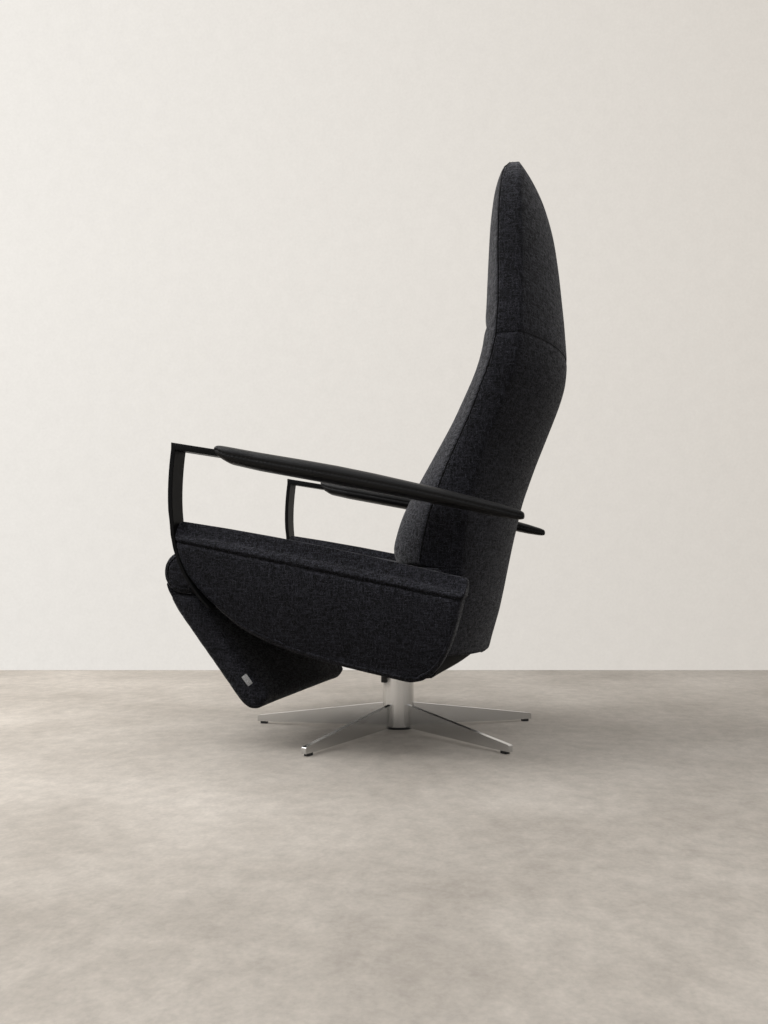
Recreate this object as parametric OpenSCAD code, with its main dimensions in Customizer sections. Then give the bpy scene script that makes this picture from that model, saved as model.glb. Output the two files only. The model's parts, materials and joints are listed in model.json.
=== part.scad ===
// Swivel recliner: star base, upholstered seat between two side panels,
// reclining back, tilting headrest and a footrest that swings out from the seat's front.
// Millimetres. The front of the chair faces -Y and the sitter's left is +X.
// Everything above the base is measured from the deck, the top of the swivel flange.

/* [Base] */
// Distance from the middle of the chair's depth back to the swivel axis
axis_y = 28; // [15:1:40]
// Outside diameter of the column
column_d = 66; // [60:1:80]
// Wall of the column
column_wall = 4; // [3:0.5:6]
// Height of the column's top edge above the floor
column_h = 178; // [165:1:230]
// Height of the column's foot disc above the floor
foot_z = 5; // [4:0.5:6]
// Thickness of the column's foot disc
foot_t = 5; // [4:0.5:8]
// Distance from the swivel axis to a leg's tip
leg_reach = 322; // [290:1:360]
// Height of a leg where it meets the column
leg_root_h = 48; // [40:1:60]
// Height of a leg at its tip
leg_tip_h = 13; // [11:1:18]
// Thickness of a leg
leg_t = 10; // [9:0.5:14]
// Turn of the base under the seat, in degrees
leg_turn = -19; // [-36:1:36]
// Height of a floor glide
glide_h = 5; // [4:0.5:8]
// Length of a floor glide along its leg
glide_l = 14; // [12:1:18]
// Diameter of a glide's stem
glide_stem_d = 5; // [4:0.5:6]

/* [Swivel] */
// Diameter of the spindle
spindle_d = 40; // [36:1:44]
// Diameter of the spindle's flange
flange_d = 88; // [84:1:92]
// Thickness of the spindle's flange
flange_t = 6; // [5:0.5:8]
// Length of each swivel bush
bush_l = 28; // [20:1:40]
// Thickness of the upper bush's collar
collar_t = 3; // [2:0.5:4]
// Thickness of the thrust washer
washer_t = 3; // [2:0.5:4]
// Thickness of the mechanism plate
plate_t = 8; // [6:0.5:10]
// Diameter of the mechanism bolts
bolt_d = 8; // [6:1:10]
// Diameter of the mechanism bolts' circle
bolt_pcd = 66; // [64:1:68]

/* [Seat frame] */
// Clear width between the two side panels
seat_w = 534; // [510:1:580]
// Width of a seat rail
rail_w = 15; // [12:1:20]
// Height of a seat rail
rail_h = 30; // [26:1:34]
// Wall of a seat rail
rail_wall = 2; // [1.5:0.5:4]
// Length of a seat rail
rail_l = 434; // [428:1:440]
// Slope of the seat rails, down to the rear, in degrees
rail_tilt = 7.7; // [6:0.1:9]
// Gap from a rail to its side panel, bridged by spacers
side_gap = 47.5; // [44:0.5:54]
// Diameter of the cross tubes
cross_d = 22; // [20:1:24]
// Thickness of the hinge and cradle plates
lug_t = 6; // [5:0.5:8]
// Diameter of the panel spacers
spacer_d = 22; // [18:1:26]
// Thickness of the webbing straps
strap_t = 2; // [1.5:0.5:3]

/* [Seat body] */
// Thickness of a side panel
panel_t = 55; // [48:1:65]
// Thickness of the plywood core in a side panel
core_t = 18; // [15:1:22]
// Gap from the seat cushion to a side panel
cushion_gap = 5; // [3:0.5:8]
// Crown of the seat cushion over its sides
seat_crown = 8; // [4:1:9]
// Radius of the cushion's side edges
cushion_edge = 14; // [8:1:18]
// Thickness of the black shell under the seat
shell_t = 3; // [2:0.5:4]

/* [Arms] */
// Width of the arm blade
blade_w = 42; // [36:1:46]
// Thickness of the arm blade
blade_t = 9; // [6:0.5:10]
// Thickness of the blade's level run under the arm pad
arm_t = 12; // [9:0.5:14]
// How far the blade stands out of the side panel
blade_proud = 3; // [1:0.5:6]
// Half width of the arm pad at its widest
arm_half_w = 35; // [32:1:38]

/* [Back] */
// Gap from the back's side to a side panel
back_gap = 21; // [19:1:26]
// Diameter of the back frame's tubes
stile_d = 22; // [20:1:23]
// Wall of the back's rear cover
cover_wall = 12; // [8:1:13]
// Diameter of the recline hinge pins
recline_pin_d = 16; // [12:1:18]
// Recline hinge axis, rearward of the swivel axis
recline_y = 140; // [138:1:142]
// Recline hinge axis, above the deck
recline_z = 100; // [98:1:103]
// Thickness of the back's hinge arms
arm_plate_t = 8; // [6:0.5:9]

/* [Headrest] */
// Headrest hinge axis, rearward of the swivel axis
head_y = 222; // [219:1:226]
// Headrest hinge axis, above the deck
head_z = 610; // [606:1:614]
// Diameter of the headrest's hinge pin
head_pin_d = 8; // [6:1:10]
// Forward tilt that the crease leaves room for, in degrees
head_tilt = 26; // [20:1:30]
// Width of the headrest's steel plate
head_plate_w = 140; // [110:1:150]

/* [Footrest] */
// Footrest hinge axis, forward of the swivel axis
foot_hinge_y = -370; // [-372:1:-368]
// Footrest hinge axis, above the deck
foot_hinge_z = 145.5; // [144:0.5:148]
// Length of the footrest below its hinge
footrest_l = 303; // [280:1:315]
// Thickness of the footrest
footrest_t = 50; // [46:1:50]
// Distance from the footrest's hinge axis to its front face
footrest_drop = 59; // [57:0.5:62]
// Radius of the roll along the seat's front
roll_r = 42; // [39:0.5:43]
// Angle of the stowed footrest below the level, in degrees
footrest_angle = 52; // [50:0.5:56]
// Thickness of the footrest's board
board_t = 6; // [4:0.5:8]
// Diameter of the footrest's hinge pins
foot_pin_d = 10; // [8:1:12]

/* [Gas spring] */
// Diameter of the spring's cylinder
gas_d = 28; // [22:1:28]
// Length of the spring's cylinder
gas_l = 190; // [180:1:200]
// Diameter of the spring's rod
rod_d = 10; // [8:1:11]
// Distance of the spring's line below the recline axis
crank_r = 46; // [44:1:47]

/* [Release lever] */
// Diameter of the lever's rod
lever_d = 6; // [5:0.5:8]
// Diameter of the lever's knob
knob_d = 12; // [10:1:16]
// Length of the lever's knob
knob_l = 17; // [14:1:22]

/* [Fits] */
// Radial clearance of a running fit
run_gap = 0.05; // [0.02:0.01:0.1]
// Clearance of pieces that lie against each other
seat_gap = 0.3; // [0.2:0.05:0.5]

/* [Hidden] */
$fn = 64;

leg_n = 5;
column_r = column_d / 2;
column_in_r = column_r - column_wall;
tube_z = foot_z + foot_t;
deck_z = column_h + collar_t + washer_t + flange_t;
panel_in = seat_w / 2;
panel_out = panel_in + panel_t;
blade_out = panel_out + blade_proud;
rail_out = panel_in - side_gap;
rail_in = rail_out - rail_w;
back_half = panel_in - back_gap;
cushion_half = panel_in - cushion_gap;
rail_y = -320;
rail_z = 128;
hinge_s = (recline_y - rail_y) / cos(rail_tilt);
front_cross_s = 170;
rear_cross_s = 416;
lug_r = 14;
cradle_x = 100;
plate_front = -42;
plate_rear = 72;
cradle_foot_y = [-40, 70];
gas_z = recline_z - crank_r;
gas_front_y = -148;
crank_swing = 16;
stile_x = rail_in - 4;
foot_axis = [foot_hinge_y, foot_hinge_z];
foot_half = cushion_half - 2;
lug_x = rail_out + lug_t + 1;
roll_tube_d = 20;

// The side panel's outline as four curves of control points (y, z)
panel_front = [[-354, 242], [-353, 170], [-325, 111], [-243, 48]];
panel_belly = [[-243, 48], [-173, -7], [6, -34], [88, -52]];
panel_tail = [[88, -52], [152, -54], [178, 40], [193, 133]];
panel_top = [[193, 133], [10, 177], [-170, 214], [-354, 242]];

// The back's front: height, seam at the side, crown over the seam, share of the full half width
back_front = [[155, 84, 56, 0.97], [163, 83, 70, 0.99], [180, 84, 79, 1], [205, 89, 81, 1],
    [250, 98, 76, 1], [295, 113, 68, 1], [345, 135, 60, 1], [435, 185, 57, 1],
    [525, 224, 52, 1], [575, 235, 47, 0.99], [650, 238, 42, 0.97], [735, 236, 36, 0.94],
    [815, 237, 33, 0.9], [870, 240, 30, 0.83], [900, 243, 24, 0.75], [922, 247, 16, 0.64],
    [938, 254, 6, 0.47]];
// The back's rear: height, edge at the side, bulge over the edge
back_rear = [[-13, 147, 39], [-5, 148, 41], [60, 161, 49], [110, 170, 51], [165, 176, 56],
    [225, 182, 65], [290, 191, 71], [365, 212, 77], [420, 237, 74], [485, 261, 76], [525, 274, 76],
    [570, 281, 73], [650, 283, 65], [755, 282, 55], [817, 279, 49], [870, 276, 38],
    [900, 273, 28], [922, 269, 18], [938, 264, 6]];
// The back frame's line inside the cover: height, depth
frame_line = [[100, 140], [250, 150], [345, 182], [535, 262], [600, 286]];
// The arm pad: distance to the rear, top, share of the half width, thickness
arm_rows = [[-273, 378, 0.62, 12], [-267, 380, 0.76, 23], [-245, 376, 0.9, 32],
    [-195, 366, 0.97, 34], [-110, 350, 1, 35], [-40, 336, 1, 35], [30, 320, 1, 34],
    [90, 305, 0.99, 31], [150, 290, 0.94, 29], [205, 275, 0.82, 26], [250, 262, 0.64, 23],
    [280, 252, 0.42, 18], [291, 247, 0.24, 13]];
arm_lean = 12;
arm_over = 5;

function bezier_at(p, t) = pow(1 - t, 3) * p[0] + 3 * t * pow(1 - t, 2) * p[1]
    + 3 * t * t * (1 - t) * p[2] + pow(t, 3) * p[3];
function bezier(p, n) = [for (i = [0:n - 1]) bezier_at(p, i / n)];
function reversed(p) = [for (i = [len(p) - 1:-1:0]) p[i]];
function row_value(rows, c, z) = lookup(z, [for (r = rows) [r[0], r[c]]]);
function eased(rows, c, z) =
    (row_value(rows, c, z - 14) + 2 * row_value(rows, c, z) + row_value(rows, c, z + 14)) / 4;
function rail_point(s) = [rail_y + s * cos(rail_tilt), rail_z - s * sin(rail_tilt)];
function unit(v) = v / norm(v);
function normal_at(p, i) = let (n = len(p), t = unit(p[(i + 1) % n] - p[(i + n - 1) % n]))
    [t[1], -t[0]];
function pushed(p, d) = [for (i = [0:len(p) - 1]) p[i] + d[i] * normal_at(p, i)];
function turned(p, a) = [p[0] * cos(a) - p[1] * sin(a), p[0] * sin(a) + p[1] * cos(a)];
function centre(p) = [for (k = [0:2]) [for (q = p) q[k]] * [for (q = p) 1] / len(p)];

// Everything from the swivel axis, and everything from the deck
module at_axis() translate([0, axis_y, 0]) children();
module on_deck() translate([0, axis_y, deck_z]) children();
// A drawing in the (y, z) plane carried along x
module along_x(x0, x1) translate([x0, 0, 0]) rotate([90, 0, 90]) linear_extrude(x1 - x0) children();
// A round bar along x
module bar_x(d, x0, x1, p) translate([x0, p[0], p[1]]) rotate([0, 90, 0]) cylinder(d = d, h = x1 - x0);
// A straight round tube between two points of the (y, z) plane at one x
module rod_yz(d, x, a, b) let (v = b - a)
    translate([x, a[0], a[1]]) rotate([atan2(-v[0], v[1]), 0, 0]) cylinder(d = d, h = norm(v));
module on_rail() translate([0, rail_y, rail_z]) rotate([-rail_tilt, 0, 0]) children();
module mirrored() mirror([1, 0, 0]) children();
module pair() {
    children();
    mirrored() children();
}
// A closed skin over rings that run anticlockwise seen from the far end
module loft(rings) {
    m = len(rings);
    n = len(rings[0]);
    faces = concat(
        [for (j = [0:m - 2], i = [0:n - 1]) let (a = j * n + i, b = j * n + (i + 1) % n)
            each [[a, b + n, b], [a, a + n, b + n]]],
        [for (i = [0:n - 1]) [m * n, i, (i + 1) % n]],
        [for (i = [0:n - 1]) [m * n + 1, (m - 1) * n + (i + 1) % n, (m - 1) * n + i]]);
    polyhedron(concat([for (r = rings) each r], [centre(rings[0]), centre(rings[m - 1])]), faces);
}

// Base: one upright blade per leg, tapered to its tip
module leg(k) color("silver") at_axis() rotate([0, 0, leg_turn + 360 / leg_n * k]) difference() {
    translate([0, leg_t / 2, 0]) rotate([90, 0, 0]) linear_extrude(leg_t)
        polygon([[column_r - 3, tube_z], [leg_reach - 2 * glide_l, glide_h], [leg_reach, glide_h],
            [leg_reach, glide_h + leg_tip_h - 2], [leg_reach - 3, glide_h + leg_tip_h],
            [column_r - 3, tube_z + leg_root_h]]);
    cylinder(r = column_r + run_gap, h = tube_z + 2 * leg_root_h);
    translate([leg_reach - glide_l, 0, 0]) cylinder(d = glide_stem_d + 2 * run_gap, h = glide_h + 7);
}
module leg_1() leg(0);
module leg_2() leg(1);
module leg_3() leg(2);
module leg_4() leg(3);
module leg_5() leg(4);

module floor_glides() color("black") at_axis() for (k = [0:leg_n - 1])
    rotate([0, 0, leg_turn + 360 / leg_n * k]) translate([leg_reach - glide_l, 0, 0]) {
        translate([-glide_l / 2, -leg_t / 2, 0]) cube([glide_l, leg_t, glide_h]);
        cylinder(d = glide_stem_d, h = glide_h + 6);
    }

module column_tube() color("silver") at_axis() translate([0, 0, tube_z]) difference() {
    cylinder(r = column_r, h = column_h - tube_z);
    translate([0, 0, -1]) cylinder(r = column_in_r, h = column_h);
}

module column_foot() color("black") at_axis() translate([0, 0, foot_z])
    cylinder(r = column_r, h = foot_t);

module bush(z, h) translate([0, 0, z]) difference() {
    cylinder(r = column_in_r - run_gap, h = h);
    translate([0, 0, -1]) cylinder(d = spindle_d + 2 * run_gap, h = h + 2);
}
module lower_bush() color("ivory") at_axis() bush(tube_z + 12, bush_l);
module upper_bush() color("ivory") at_axis() {
    bush(column_h - bush_l, bush_l);
    difference() {
        translate([0, 0, column_h]) cylinder(r = column_r, h = collar_t);
        translate([0, 0, column_h - 1]) cylinder(d = spindle_d + 2 * run_gap, h = collar_t + 2);
    }
}

module thrust_washer() color("gray") at_axis() translate([0, 0, column_h + collar_t]) difference() {
    cylinder(r = column_r - 1, h = washer_t);
    translate([0, 0, -1]) cylinder(d = spindle_d + 2 * run_gap, h = washer_t + 2);
}

// Swivel: the spindle turns in the two bushes and its flange rides on the washer
clip_z = tube_z + 6;
clip_d = spindle_d - 6;
module bolt_places() for (a = [45:90:315]) rotate([0, 0, a]) translate([bolt_pcd / 2, 0, 0]) children();
module swivel_spindle() color("dimgray") at_axis() difference() {
    union() {
        translate([0, 0, clip_z - 3]) cylinder(d = spindle_d, h = deck_z - clip_z);
        translate([0, 0, deck_z - flange_t]) cylinder(d = flange_d, h = flange_t);
    }
    translate([0, 0, clip_z]) difference() {
        cylinder(d = spindle_d + 2, h = 3);
        translate([0, 0, -1]) cylinder(d = clip_d, h = 5);
    }
    translate([0, 0, deck_z - flange_t - 1]) bolt_places() cylinder(d = bolt_d + 0.4, h = flange_t + 2);
}
module spindle_clip() color("gray") at_axis() translate([0, 0, clip_z + 0.3]) difference() {
    cylinder(d = spindle_d + 8, h = 2.4);
    translate([0, 0, -1]) cylinder(d = clip_d + 0.2, h = 5);
}

module mechanism_plate() color("dimgray") on_deck() difference() {
    translate([-cradle_x - 12, plate_front, 0]) cube([2 * cradle_x + 24, plate_rear - plate_front, plate_t]);
    translate([0, 0, -1]) bolt_places() cylinder(d = bolt_d + 0.4, h = plate_t + 2);
}
module mechanism_bolts() color("gray") on_deck() bolt_places() {
    translate([0, 0, -flange_t]) cylinder(d = bolt_d, h = flange_t + plate_t);
    translate([0, 0, plate_t]) cylinder(d = 1.7 * bolt_d, h = 0.65 * bolt_d, $fn = 6);
}

module cradle_plate(x) difference() {
    along_x(x, x + lug_t) hull() {
        translate(rail_point(front_cross_s)) circle(r = 14, $fn = 32);
        translate(rail_point(rear_cross_s)) circle(r = 14, $fn = 32);
        translate([cradle_foot_y[0], plate_t]) square([cradle_foot_y[1] - cradle_foot_y[0], 1]);
    }
    for (s = [front_cross_s, rear_cross_s])
        bar_x(cross_d + 0.2, x - 1, x + lug_t + 1, rail_point(s));
    bar_x(gas_d + 12, x - 1, x + lug_t + 1, [0, gas_z]);
}
module cradle_plates() color("dimgray") on_deck() pair() cradle_plate(cradle_x);

module cross_tube(s) difference() {
    bar_x(cross_d, -rail_in, rail_in, rail_point(s));
    bar_x(cross_d - 5, -rail_in - 1, rail_in + 1, rail_point(s));
}
module front_cross_tube() color("dimgray") on_deck() cross_tube(front_cross_s);
module rear_cross_tube() color("dimgray") on_deck() cross_tube(rear_cross_s);

module seat_rail() color("dimgray") on_deck() on_rail() translate([rail_in, 0, -rail_h / 2]) difference() {
    cube([rail_w, rail_l, rail_h]);
    translate([rail_wall, -1, rail_wall]) cube([rail_w - 2 * rail_wall, rail_l + 2, rail_h - 2 * rail_wall]);
}
module seat_rail_left() seat_rail();
module seat_rail_right() mirrored() seat_rail();

module seat_webbing() color("darkgray") on_deck() on_rail() for (s = [18:62:266])
    translate([-rail_out, s, rail_h / 2]) cube([2 * rail_out, 50, strap_t]);

// Seat cushion: its side view from the front of its underside round to its front, which
// hollows over the roll, and how far each point swells
seat_floor = rail_h / 2 + strap_t + seat_gap;
seat_side = concat(
    [for (s = [4, 120, 240, hinge_s - 102]) rail_point(s) + turned([0, seat_floor], -rail_tilt)],
    [[47, 112], [49, 132], [42, 142], [25, 148], [-20, 159], [-90, 172], [-160, 184], [-230, 195],
        [-290, 202], [-335, 204], [-350, 200], [-356, 190]],
    [for (a = [72:-20:12]) foot_axis + (roll_r + 2) * [cos(a), sin(a)]]);
seat_swell = [0, 0, 0, 0, 0, 0, 0.3, 0.5, 1, 1, 1, 1, 1, 1, 0.8, 0.4, 0, 0, 0, 0];
function edge_drop(x, half, r) = let (d = max(0, abs(x) - half + r)) r - sqrt(max(0, r * r - d * d));
function stations(half, r) =
    let (e = [half, half - 0.15 * r, half - 0.5 * r, half - r, 0.62 * half, 0.3 * half])
    concat(-e, [0], reversed(e));
function swollen(side, swell, half, r, crown) = [for (x = stations(half, r))
    let (up = crown * (1 - pow(x / half, 2)), drop = edge_drop(x, half, r) * 0.8)
    [for (q = pushed(side, [for (k = swell) k * up - drop])) [x, q[0], q[1]]]];
module seat_cushion() color("#2b2b2d") on_deck()
    loft(swollen(seat_side, seat_swell, cushion_half, cushion_edge, seat_crown));

// Side panel: a slab with rounded edges, a seam under its top roll and a pocket for the core
module panel_outline() polygon(concat(bezier(panel_front, 8), bezier(panel_belly, 8),
    bezier(panel_tail, 8), bezier(panel_top, 6)));
panel_seam = [[-370, 206], [200, 93]];
module side_panel() color("#252527") on_deck() difference() {
    hull() for (e = [[0, 7], [4, 2], [12, 0], [panel_t - 10, 0], [panel_t - 4, 2], [panel_t - 0.05, 6]])
        along_x(panel_in + e[0], panel_in + e[0] + 0.05) offset(delta = -e[1]) panel_outline();
    along_x(panel_out - 2.5, panel_out + 1) let (a = panel_seam[0], b = panel_seam[1])
        polygon([a, b, b + [0, 2.5], a + [0, 2.5]]);
    along_x(panel_in - 1, panel_in + core_t + seat_gap) offset(delta = -30 + seat_gap) panel_outline();
}
module side_panel_left() side_panel();
module side_panel_right() mirrored() side_panel();

module panel_core() color("burlywood") on_deck()
    along_x(panel_in, panel_in + core_t) offset(delta = -30) panel_outline();
module panel_core_left() panel_core();
module panel_core_right() mirrored() panel_core();

module panel_spacers() color("dimgray") on_deck() pair() for (s = [97, 330])
    bar_x(spacer_d, rail_out, panel_in, rail_point(s));

// Arm: one flat blade round the panel's front and up to a mitred corner, with a padded rest
blade_rise = [[-354, 242], [-360, 290], [-354, 345], [-350, 373]];
blade_foot = 0.83;
blade_inner = concat([bezier_at(panel_front, blade_foot)],
    [for (i = [6:-1:0]) bezier_at(panel_front, i / 8)], [for (i = [1:8]) bezier_at(blade_rise, i / 8)]);
blade_taper = [for (i = [0:15]) min(1, 0.4 + 0.075 * i)];
function run_normal(p, i) = let (a = p[max(0, i - 1)], b = p[min(len(p) - 1, i + 1)], t = unit(b - a))
    [-t[1], t[0]];
function beside(p, d) = [for (i = [0:len(p) - 1]) p[i] + d[i] * run_normal(p, i)];
blade_corner = [-359, 387];
blade_bend = [-246, 366.5];
blade_end = [24, 313];
module blade_side() polygon(concat(beside(blade_inner, [for (t = blade_taper) seat_gap]),
    [blade_bend - [0, arm_t], blade_end - [0, arm_t], blade_end, blade_bend, blade_corner],
    reversed(beside(blade_inner, [for (t = blade_taper) seat_gap + t * blade_t]))));
module arm_blade() color("#1c1c1e") on_deck() along_x(blade_out - blade_w, blade_out) blade_side();
module arm_blade_left() arm_blade();
module arm_blade_right() mirrored() arm_blade();

arm_sides = 18;
function rounded(c) = sign(c) * pow(abs(c), 0.75);
function arm_ring(r) = let (half = arm_half_w * r[2], lean = min(1, (r[0] - arm_rows[0][0]) / 90),
    x = blade_out + arm_over - arm_half_w + arm_lean * (1 - lean))
    [for (i = [0:arm_sides - 1]) let (a = 360 / arm_sides * i, c = sin(a), s = cos(a))
        [x + half * rounded(c), r[0], r[1] - r[3] / 2 + r[3] / 2 * rounded(s)]];
module arm_pad() color("#141414") on_deck() difference() {
    loft([for (r = arm_rows) arm_ring(r)]);
    along_x(blade_out - blade_w - seat_gap, blade_out + seat_gap) offset(delta = seat_gap) blade_side();
}
module arm_pad_left() arm_pad();
module arm_pad_right() mirrored() arm_pad();

// Black shell that closes the seat's underside, with a lip behind the mechanism
shell_run = concat(bezier([[-305, 100], [-288, 90], [-266, 70], [-243, 51]], 3),
    bezier([[-243, 51], [-173, -4], [6, -31], [88, -49]], 10), [[88, -49], [124, -45]]);
lever_at = [rail_out - 14, 21, 8];
module bottom_shell() color("#101010") on_deck() difference() {
    union() {
        along_x(-panel_in + seat_gap, panel_in - seat_gap)
            polygon(concat(shell_run, reversed([for (p = shell_run) p + [0, shell_t]])));
        translate([-panel_in + seat_gap, plate_rear + 6, -47])
            cube([2 * (panel_in - seat_gap), shell_t, 61]);
    }
    translate([0, 0, -deck_z]) cylinder(d = flange_d + 6, h = deck_z);
    translate([lever_at[0] - 10, lever_at[1] - 8, -60]) cube([34, 16, 50]);
    pair() translate([rail_out - 2, -310, 70]) cube([lug_t + 4, 50, 50]);
}

// Recline hinge: seat brackets outside, the back's hinge arms inside, one pin each side
module recline_brackets() color("dimgray") on_deck() pair() difference() {
    along_x(rail_out, rail_out + lug_t) hull() {
        translate([recline_y, recline_z]) circle(r = lug_r, $fn = 32);
        for (s = [hinge_s - 100, hinge_s - 38]) translate(rail_point(s)) circle(d = rail_h - 4, $fn = 32);
    }
    bar_x(recline_pin_d + 2 * run_gap, rail_out - 1, rail_out + lug_t + 1, [recline_y, recline_z]);
}
module recline_pins() color("gray") on_deck() pair() {
    bar_x(recline_pin_d, rail_in - 10, rail_out + lug_t + 1, [recline_y, recline_z]);
    bar_x(recline_pin_d + 8, rail_out + lug_t + 1, rail_out + lug_t + 4, [recline_y, recline_z]);
}

// Footrest hinge: a roll on a tube between two brackets, with a pin standing out of each
foot_lug_r = 10;
foot_lug_t = 4;
module footrest_brackets() color("dimgray") on_deck() pair() difference() {
    along_x(rail_out, rail_out + lug_t)
        for (ends = [[foot_axis, rail_point(14)], [rail_point(14), rail_point(70)]])
        hull() for (p = ends) translate(p) circle(r = foot_lug_r + 2, $fn = 32);
    bar_x(foot_pin_d + 2 * run_gap, rail_out - 1, rail_out + lug_t + 1, foot_axis);
}
module footrest_pins() color("gray") on_deck() pair() bar_x(foot_pin_d, rail_out, foot_half - 6, foot_axis);
module roll_tube() color("dimgray") on_deck() difference() {
    bar_x(roll_tube_d, -rail_out, rail_out, foot_axis);
    bar_x(roll_tube_d - 4, -rail_out - 1, rail_out + 1, foot_axis);
}
roll_end_l = foot_half - lug_x - 5;
// The roll, cut where the brackets and the footrest's lugs pass
module seat_roll() color("#2a2a2c") on_deck() difference() {
    union() {
        bar_x(2 * roll_r, -rail_out + 1.5, rail_out - 1.5, foot_axis);
        pair() translate([lug_x + 6, foot_axis[0], foot_axis[1]]) rotate([0, 90, 0]) rotate_extrude()
            polygon([[0, 0], [roll_r, 0], [roll_r, roll_end_l - 9], [roll_r - 3, roll_end_l - 3],
                [roll_r - 8, roll_end_l - 1], [0, roll_end_l]]);
    }
    bar_x(roll_tube_d + 0.4, -rail_out, rail_out, foot_axis);
    pair() bar_x(foot_pin_d + 0.2, rail_out, foot_half - 5, foot_axis);
}

// Gas spring: its cylinder hangs under the front cross tube and its rod works the back's crank
gas_pin_d = 10;
module gas_spring_bracket() color("dimgray") on_deck() {
    pair() difference() {
        along_x(6, 10) hull() {
            translate(rail_point(front_cross_s)) circle(r = 14, $fn = 32);
            translate([gas_front_y, gas_z]) circle(r = 11, $fn = 32);
        }
        bar_x(cross_d + 0.1, 5, 11, rail_point(front_cross_s));
    }
    bar_x(gas_pin_d, -8, 8, [gas_front_y, gas_z]);
}
module gas_spring_cylinder() color("#18181a") on_deck() difference() {
    union() {
        translate([0, gas_front_y + 12, gas_z]) rotate([-90, 0, 0]) cylinder(d = gas_d, h = gas_l);
        bar_x(20, -5, 5, [gas_front_y, gas_z]);
        translate([-5, gas_front_y, gas_z - 8]) cube([10, 13, 16]);
    }
    translate([0, gas_front_y + 18, gas_z]) rotate([-90, 0, 0]) cylinder(d = gas_d - 6, h = gas_l - 16);
    translate([0, gas_front_y + 18, gas_z]) rotate([-90, 0, 0]) cylinder(d = rod_d + 2 * run_gap, h = gas_l);
    bar_x(gas_pin_d + 2 * run_gap, -6, 6, [gas_front_y, gas_z]);
}
rod_pin = [recline_y + crank_r * tan(crank_swing), gas_z];
rod_stroke = 2 * crank_r * tan(crank_swing);
eye_half = 7;
module gas_spring_rod() color("silver") on_deck() {
    piston_y = gas_front_y + 22 + rod_stroke;
    translate([0, piston_y, gas_z]) rotate([-90, 0, 0]) cylinder(d = gas_d - 6 - 2 * run_gap, h = 10);
    translate([0, piston_y, gas_z]) rotate([-90, 0, 0]) cylinder(d = rod_d, h = rod_pin[0] - piston_y);
    bar_x(18, -eye_half, eye_half, rod_pin);
    bar_x(gas_pin_d, -crank_x - 4, crank_x + 4, rod_pin);
}

// Release lever under the seat's left side
module lever_bracket() color("dimgray") on_deck() {
    x = lever_at[0];
    top = rail_point((lever_at[1] + 9 - rail_y) / cos(rail_tilt))[1] - rail_h / 2 / cos(rail_tilt);
    difference() {
        union() for (y = [lever_at[1] - 9, lever_at[1] + 6])
            translate([x - 9, y, lever_at[2] - 8]) cube([20, 3, top - lever_at[2] + 5]);
        translate([x, lever_at[1] - 10, lever_at[2]]) rotate([-90, 0, 0])
            cylinder(d = 5 + 2 * run_gap, h = 20);
    }
    translate([x - 9, lever_at[1] - 9, top - 3.3]) cube([20, 18, 3]);
}
knob_top = -46;
module release_lever() color("dimgray") on_deck() {
    translate([lever_at[0], lever_at[1] - 5, lever_at[2]]) rotate([-90, 0, 0]) cylinder(d = 12, h = 10);
    translate([lever_at[0], lever_at[1] - 9.5, lever_at[2]]) rotate([-90, 0, 0]) cylinder(d = 5, h = 19);
    translate([lever_at[0], lever_at[1], knob_top - 8]) cylinder(d = lever_d, h = lever_at[2] - knob_top + 8);
}
module lever_knob() color("black") on_deck() translate([lever_at[0], lever_at[1], knob_top]) difference() {
    translate([0, 0, -knob_l]) cylinder(d = knob_d, h = knob_l);
    translate([0, 0, -8]) cylinder(d = lever_d + 2 * run_gap, h = 9);
}

// Back frame: two bent stiles on hinge arms, joined by the torque tube and two bars
module back_frame() color("dimgray") on_deck() difference() {
    union() {
        for (i = [0:len(frame_line) - 3]) let (a = frame_line[i], b = frame_line[i + 1])
            rod_yz(stile_d, stile_x - stile_d / 2, [a[1], a[0]], [b[1], b[0]]);
        for (i = [1:3])
            translate([stile_x - stile_d / 2, frame_line[i][1], frame_line[i][0]]) sphere(d = stile_d + 1);
        along_x(stile_x - arm_plate_t, stile_x) hull() {
            translate([recline_y, recline_z]) circle(r = lug_r + 2, $fn = 32);
            translate([frame_line[1][1], frame_line[1][0] - 60]) circle(d = stile_d, $fn = 32);
        }
    }
    bar_x(recline_pin_d + 0.1, stile_x - 16, stile_x + 1, [recline_y, recline_z]);
}
module back_frame_left() back_frame();
module back_frame_right() mirrored() back_frame();

crank_x = eye_half + 1;
strap_heights = [[195], [298], [380, 435, 490]];
torque_d = 25;
module back_torque_tube() color("dimgray") on_deck() difference() {
    union() {
        bar_x(torque_d, -stile_x + stile_d + 0.4, stile_x - stile_d - 0.4, [recline_y, recline_z]);
        pair() along_x(crank_x, crank_x + 4) hull() {
            translate([recline_y, recline_z]) circle(d = torque_d + 4, $fn = 32);
            translate(rod_pin) circle(r = 10, $fn = 32);
        }
    }
    bar_x(torque_d - 6, -stile_x, stile_x, [recline_y, recline_z]);
    translate([0, recline_y, recline_z]) rotate([crank_swing, 0, 0]) for (k = [0:1])
        translate([0, 0, -crank_r / (k == 0 ? 1 : cos(crank_swing))]) bar_x(gas_pin_d + 0.8, -12, 12, [0, 0]);
}

module cross_bar(p) bar_x(16, -stile_x + stile_d + 0.8, stile_x - stile_d - 0.8, p);
module back_cross_bars() color("dimgray") on_deck() for (i = [1, 3])
    cross_bar([frame_line[i][1], frame_line[i][0]]);

module back_webbing() color("darkgray") on_deck() for (i = [0, 1, 2], z = strap_heights[i])
    let (a = frame_line[i], b = frame_line[i + 1])
        translate([-stile_x + 4, row_value(frame_line, 1, z), z])
            rotate([atan2(a[1] - b[1], b[0] - a[0]), 0, 0])
            translate([0, -stile_d / 2 - strap_t - 0.1, -20]) cube([2 * stile_x - 8, strap_t, 40]);

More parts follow.
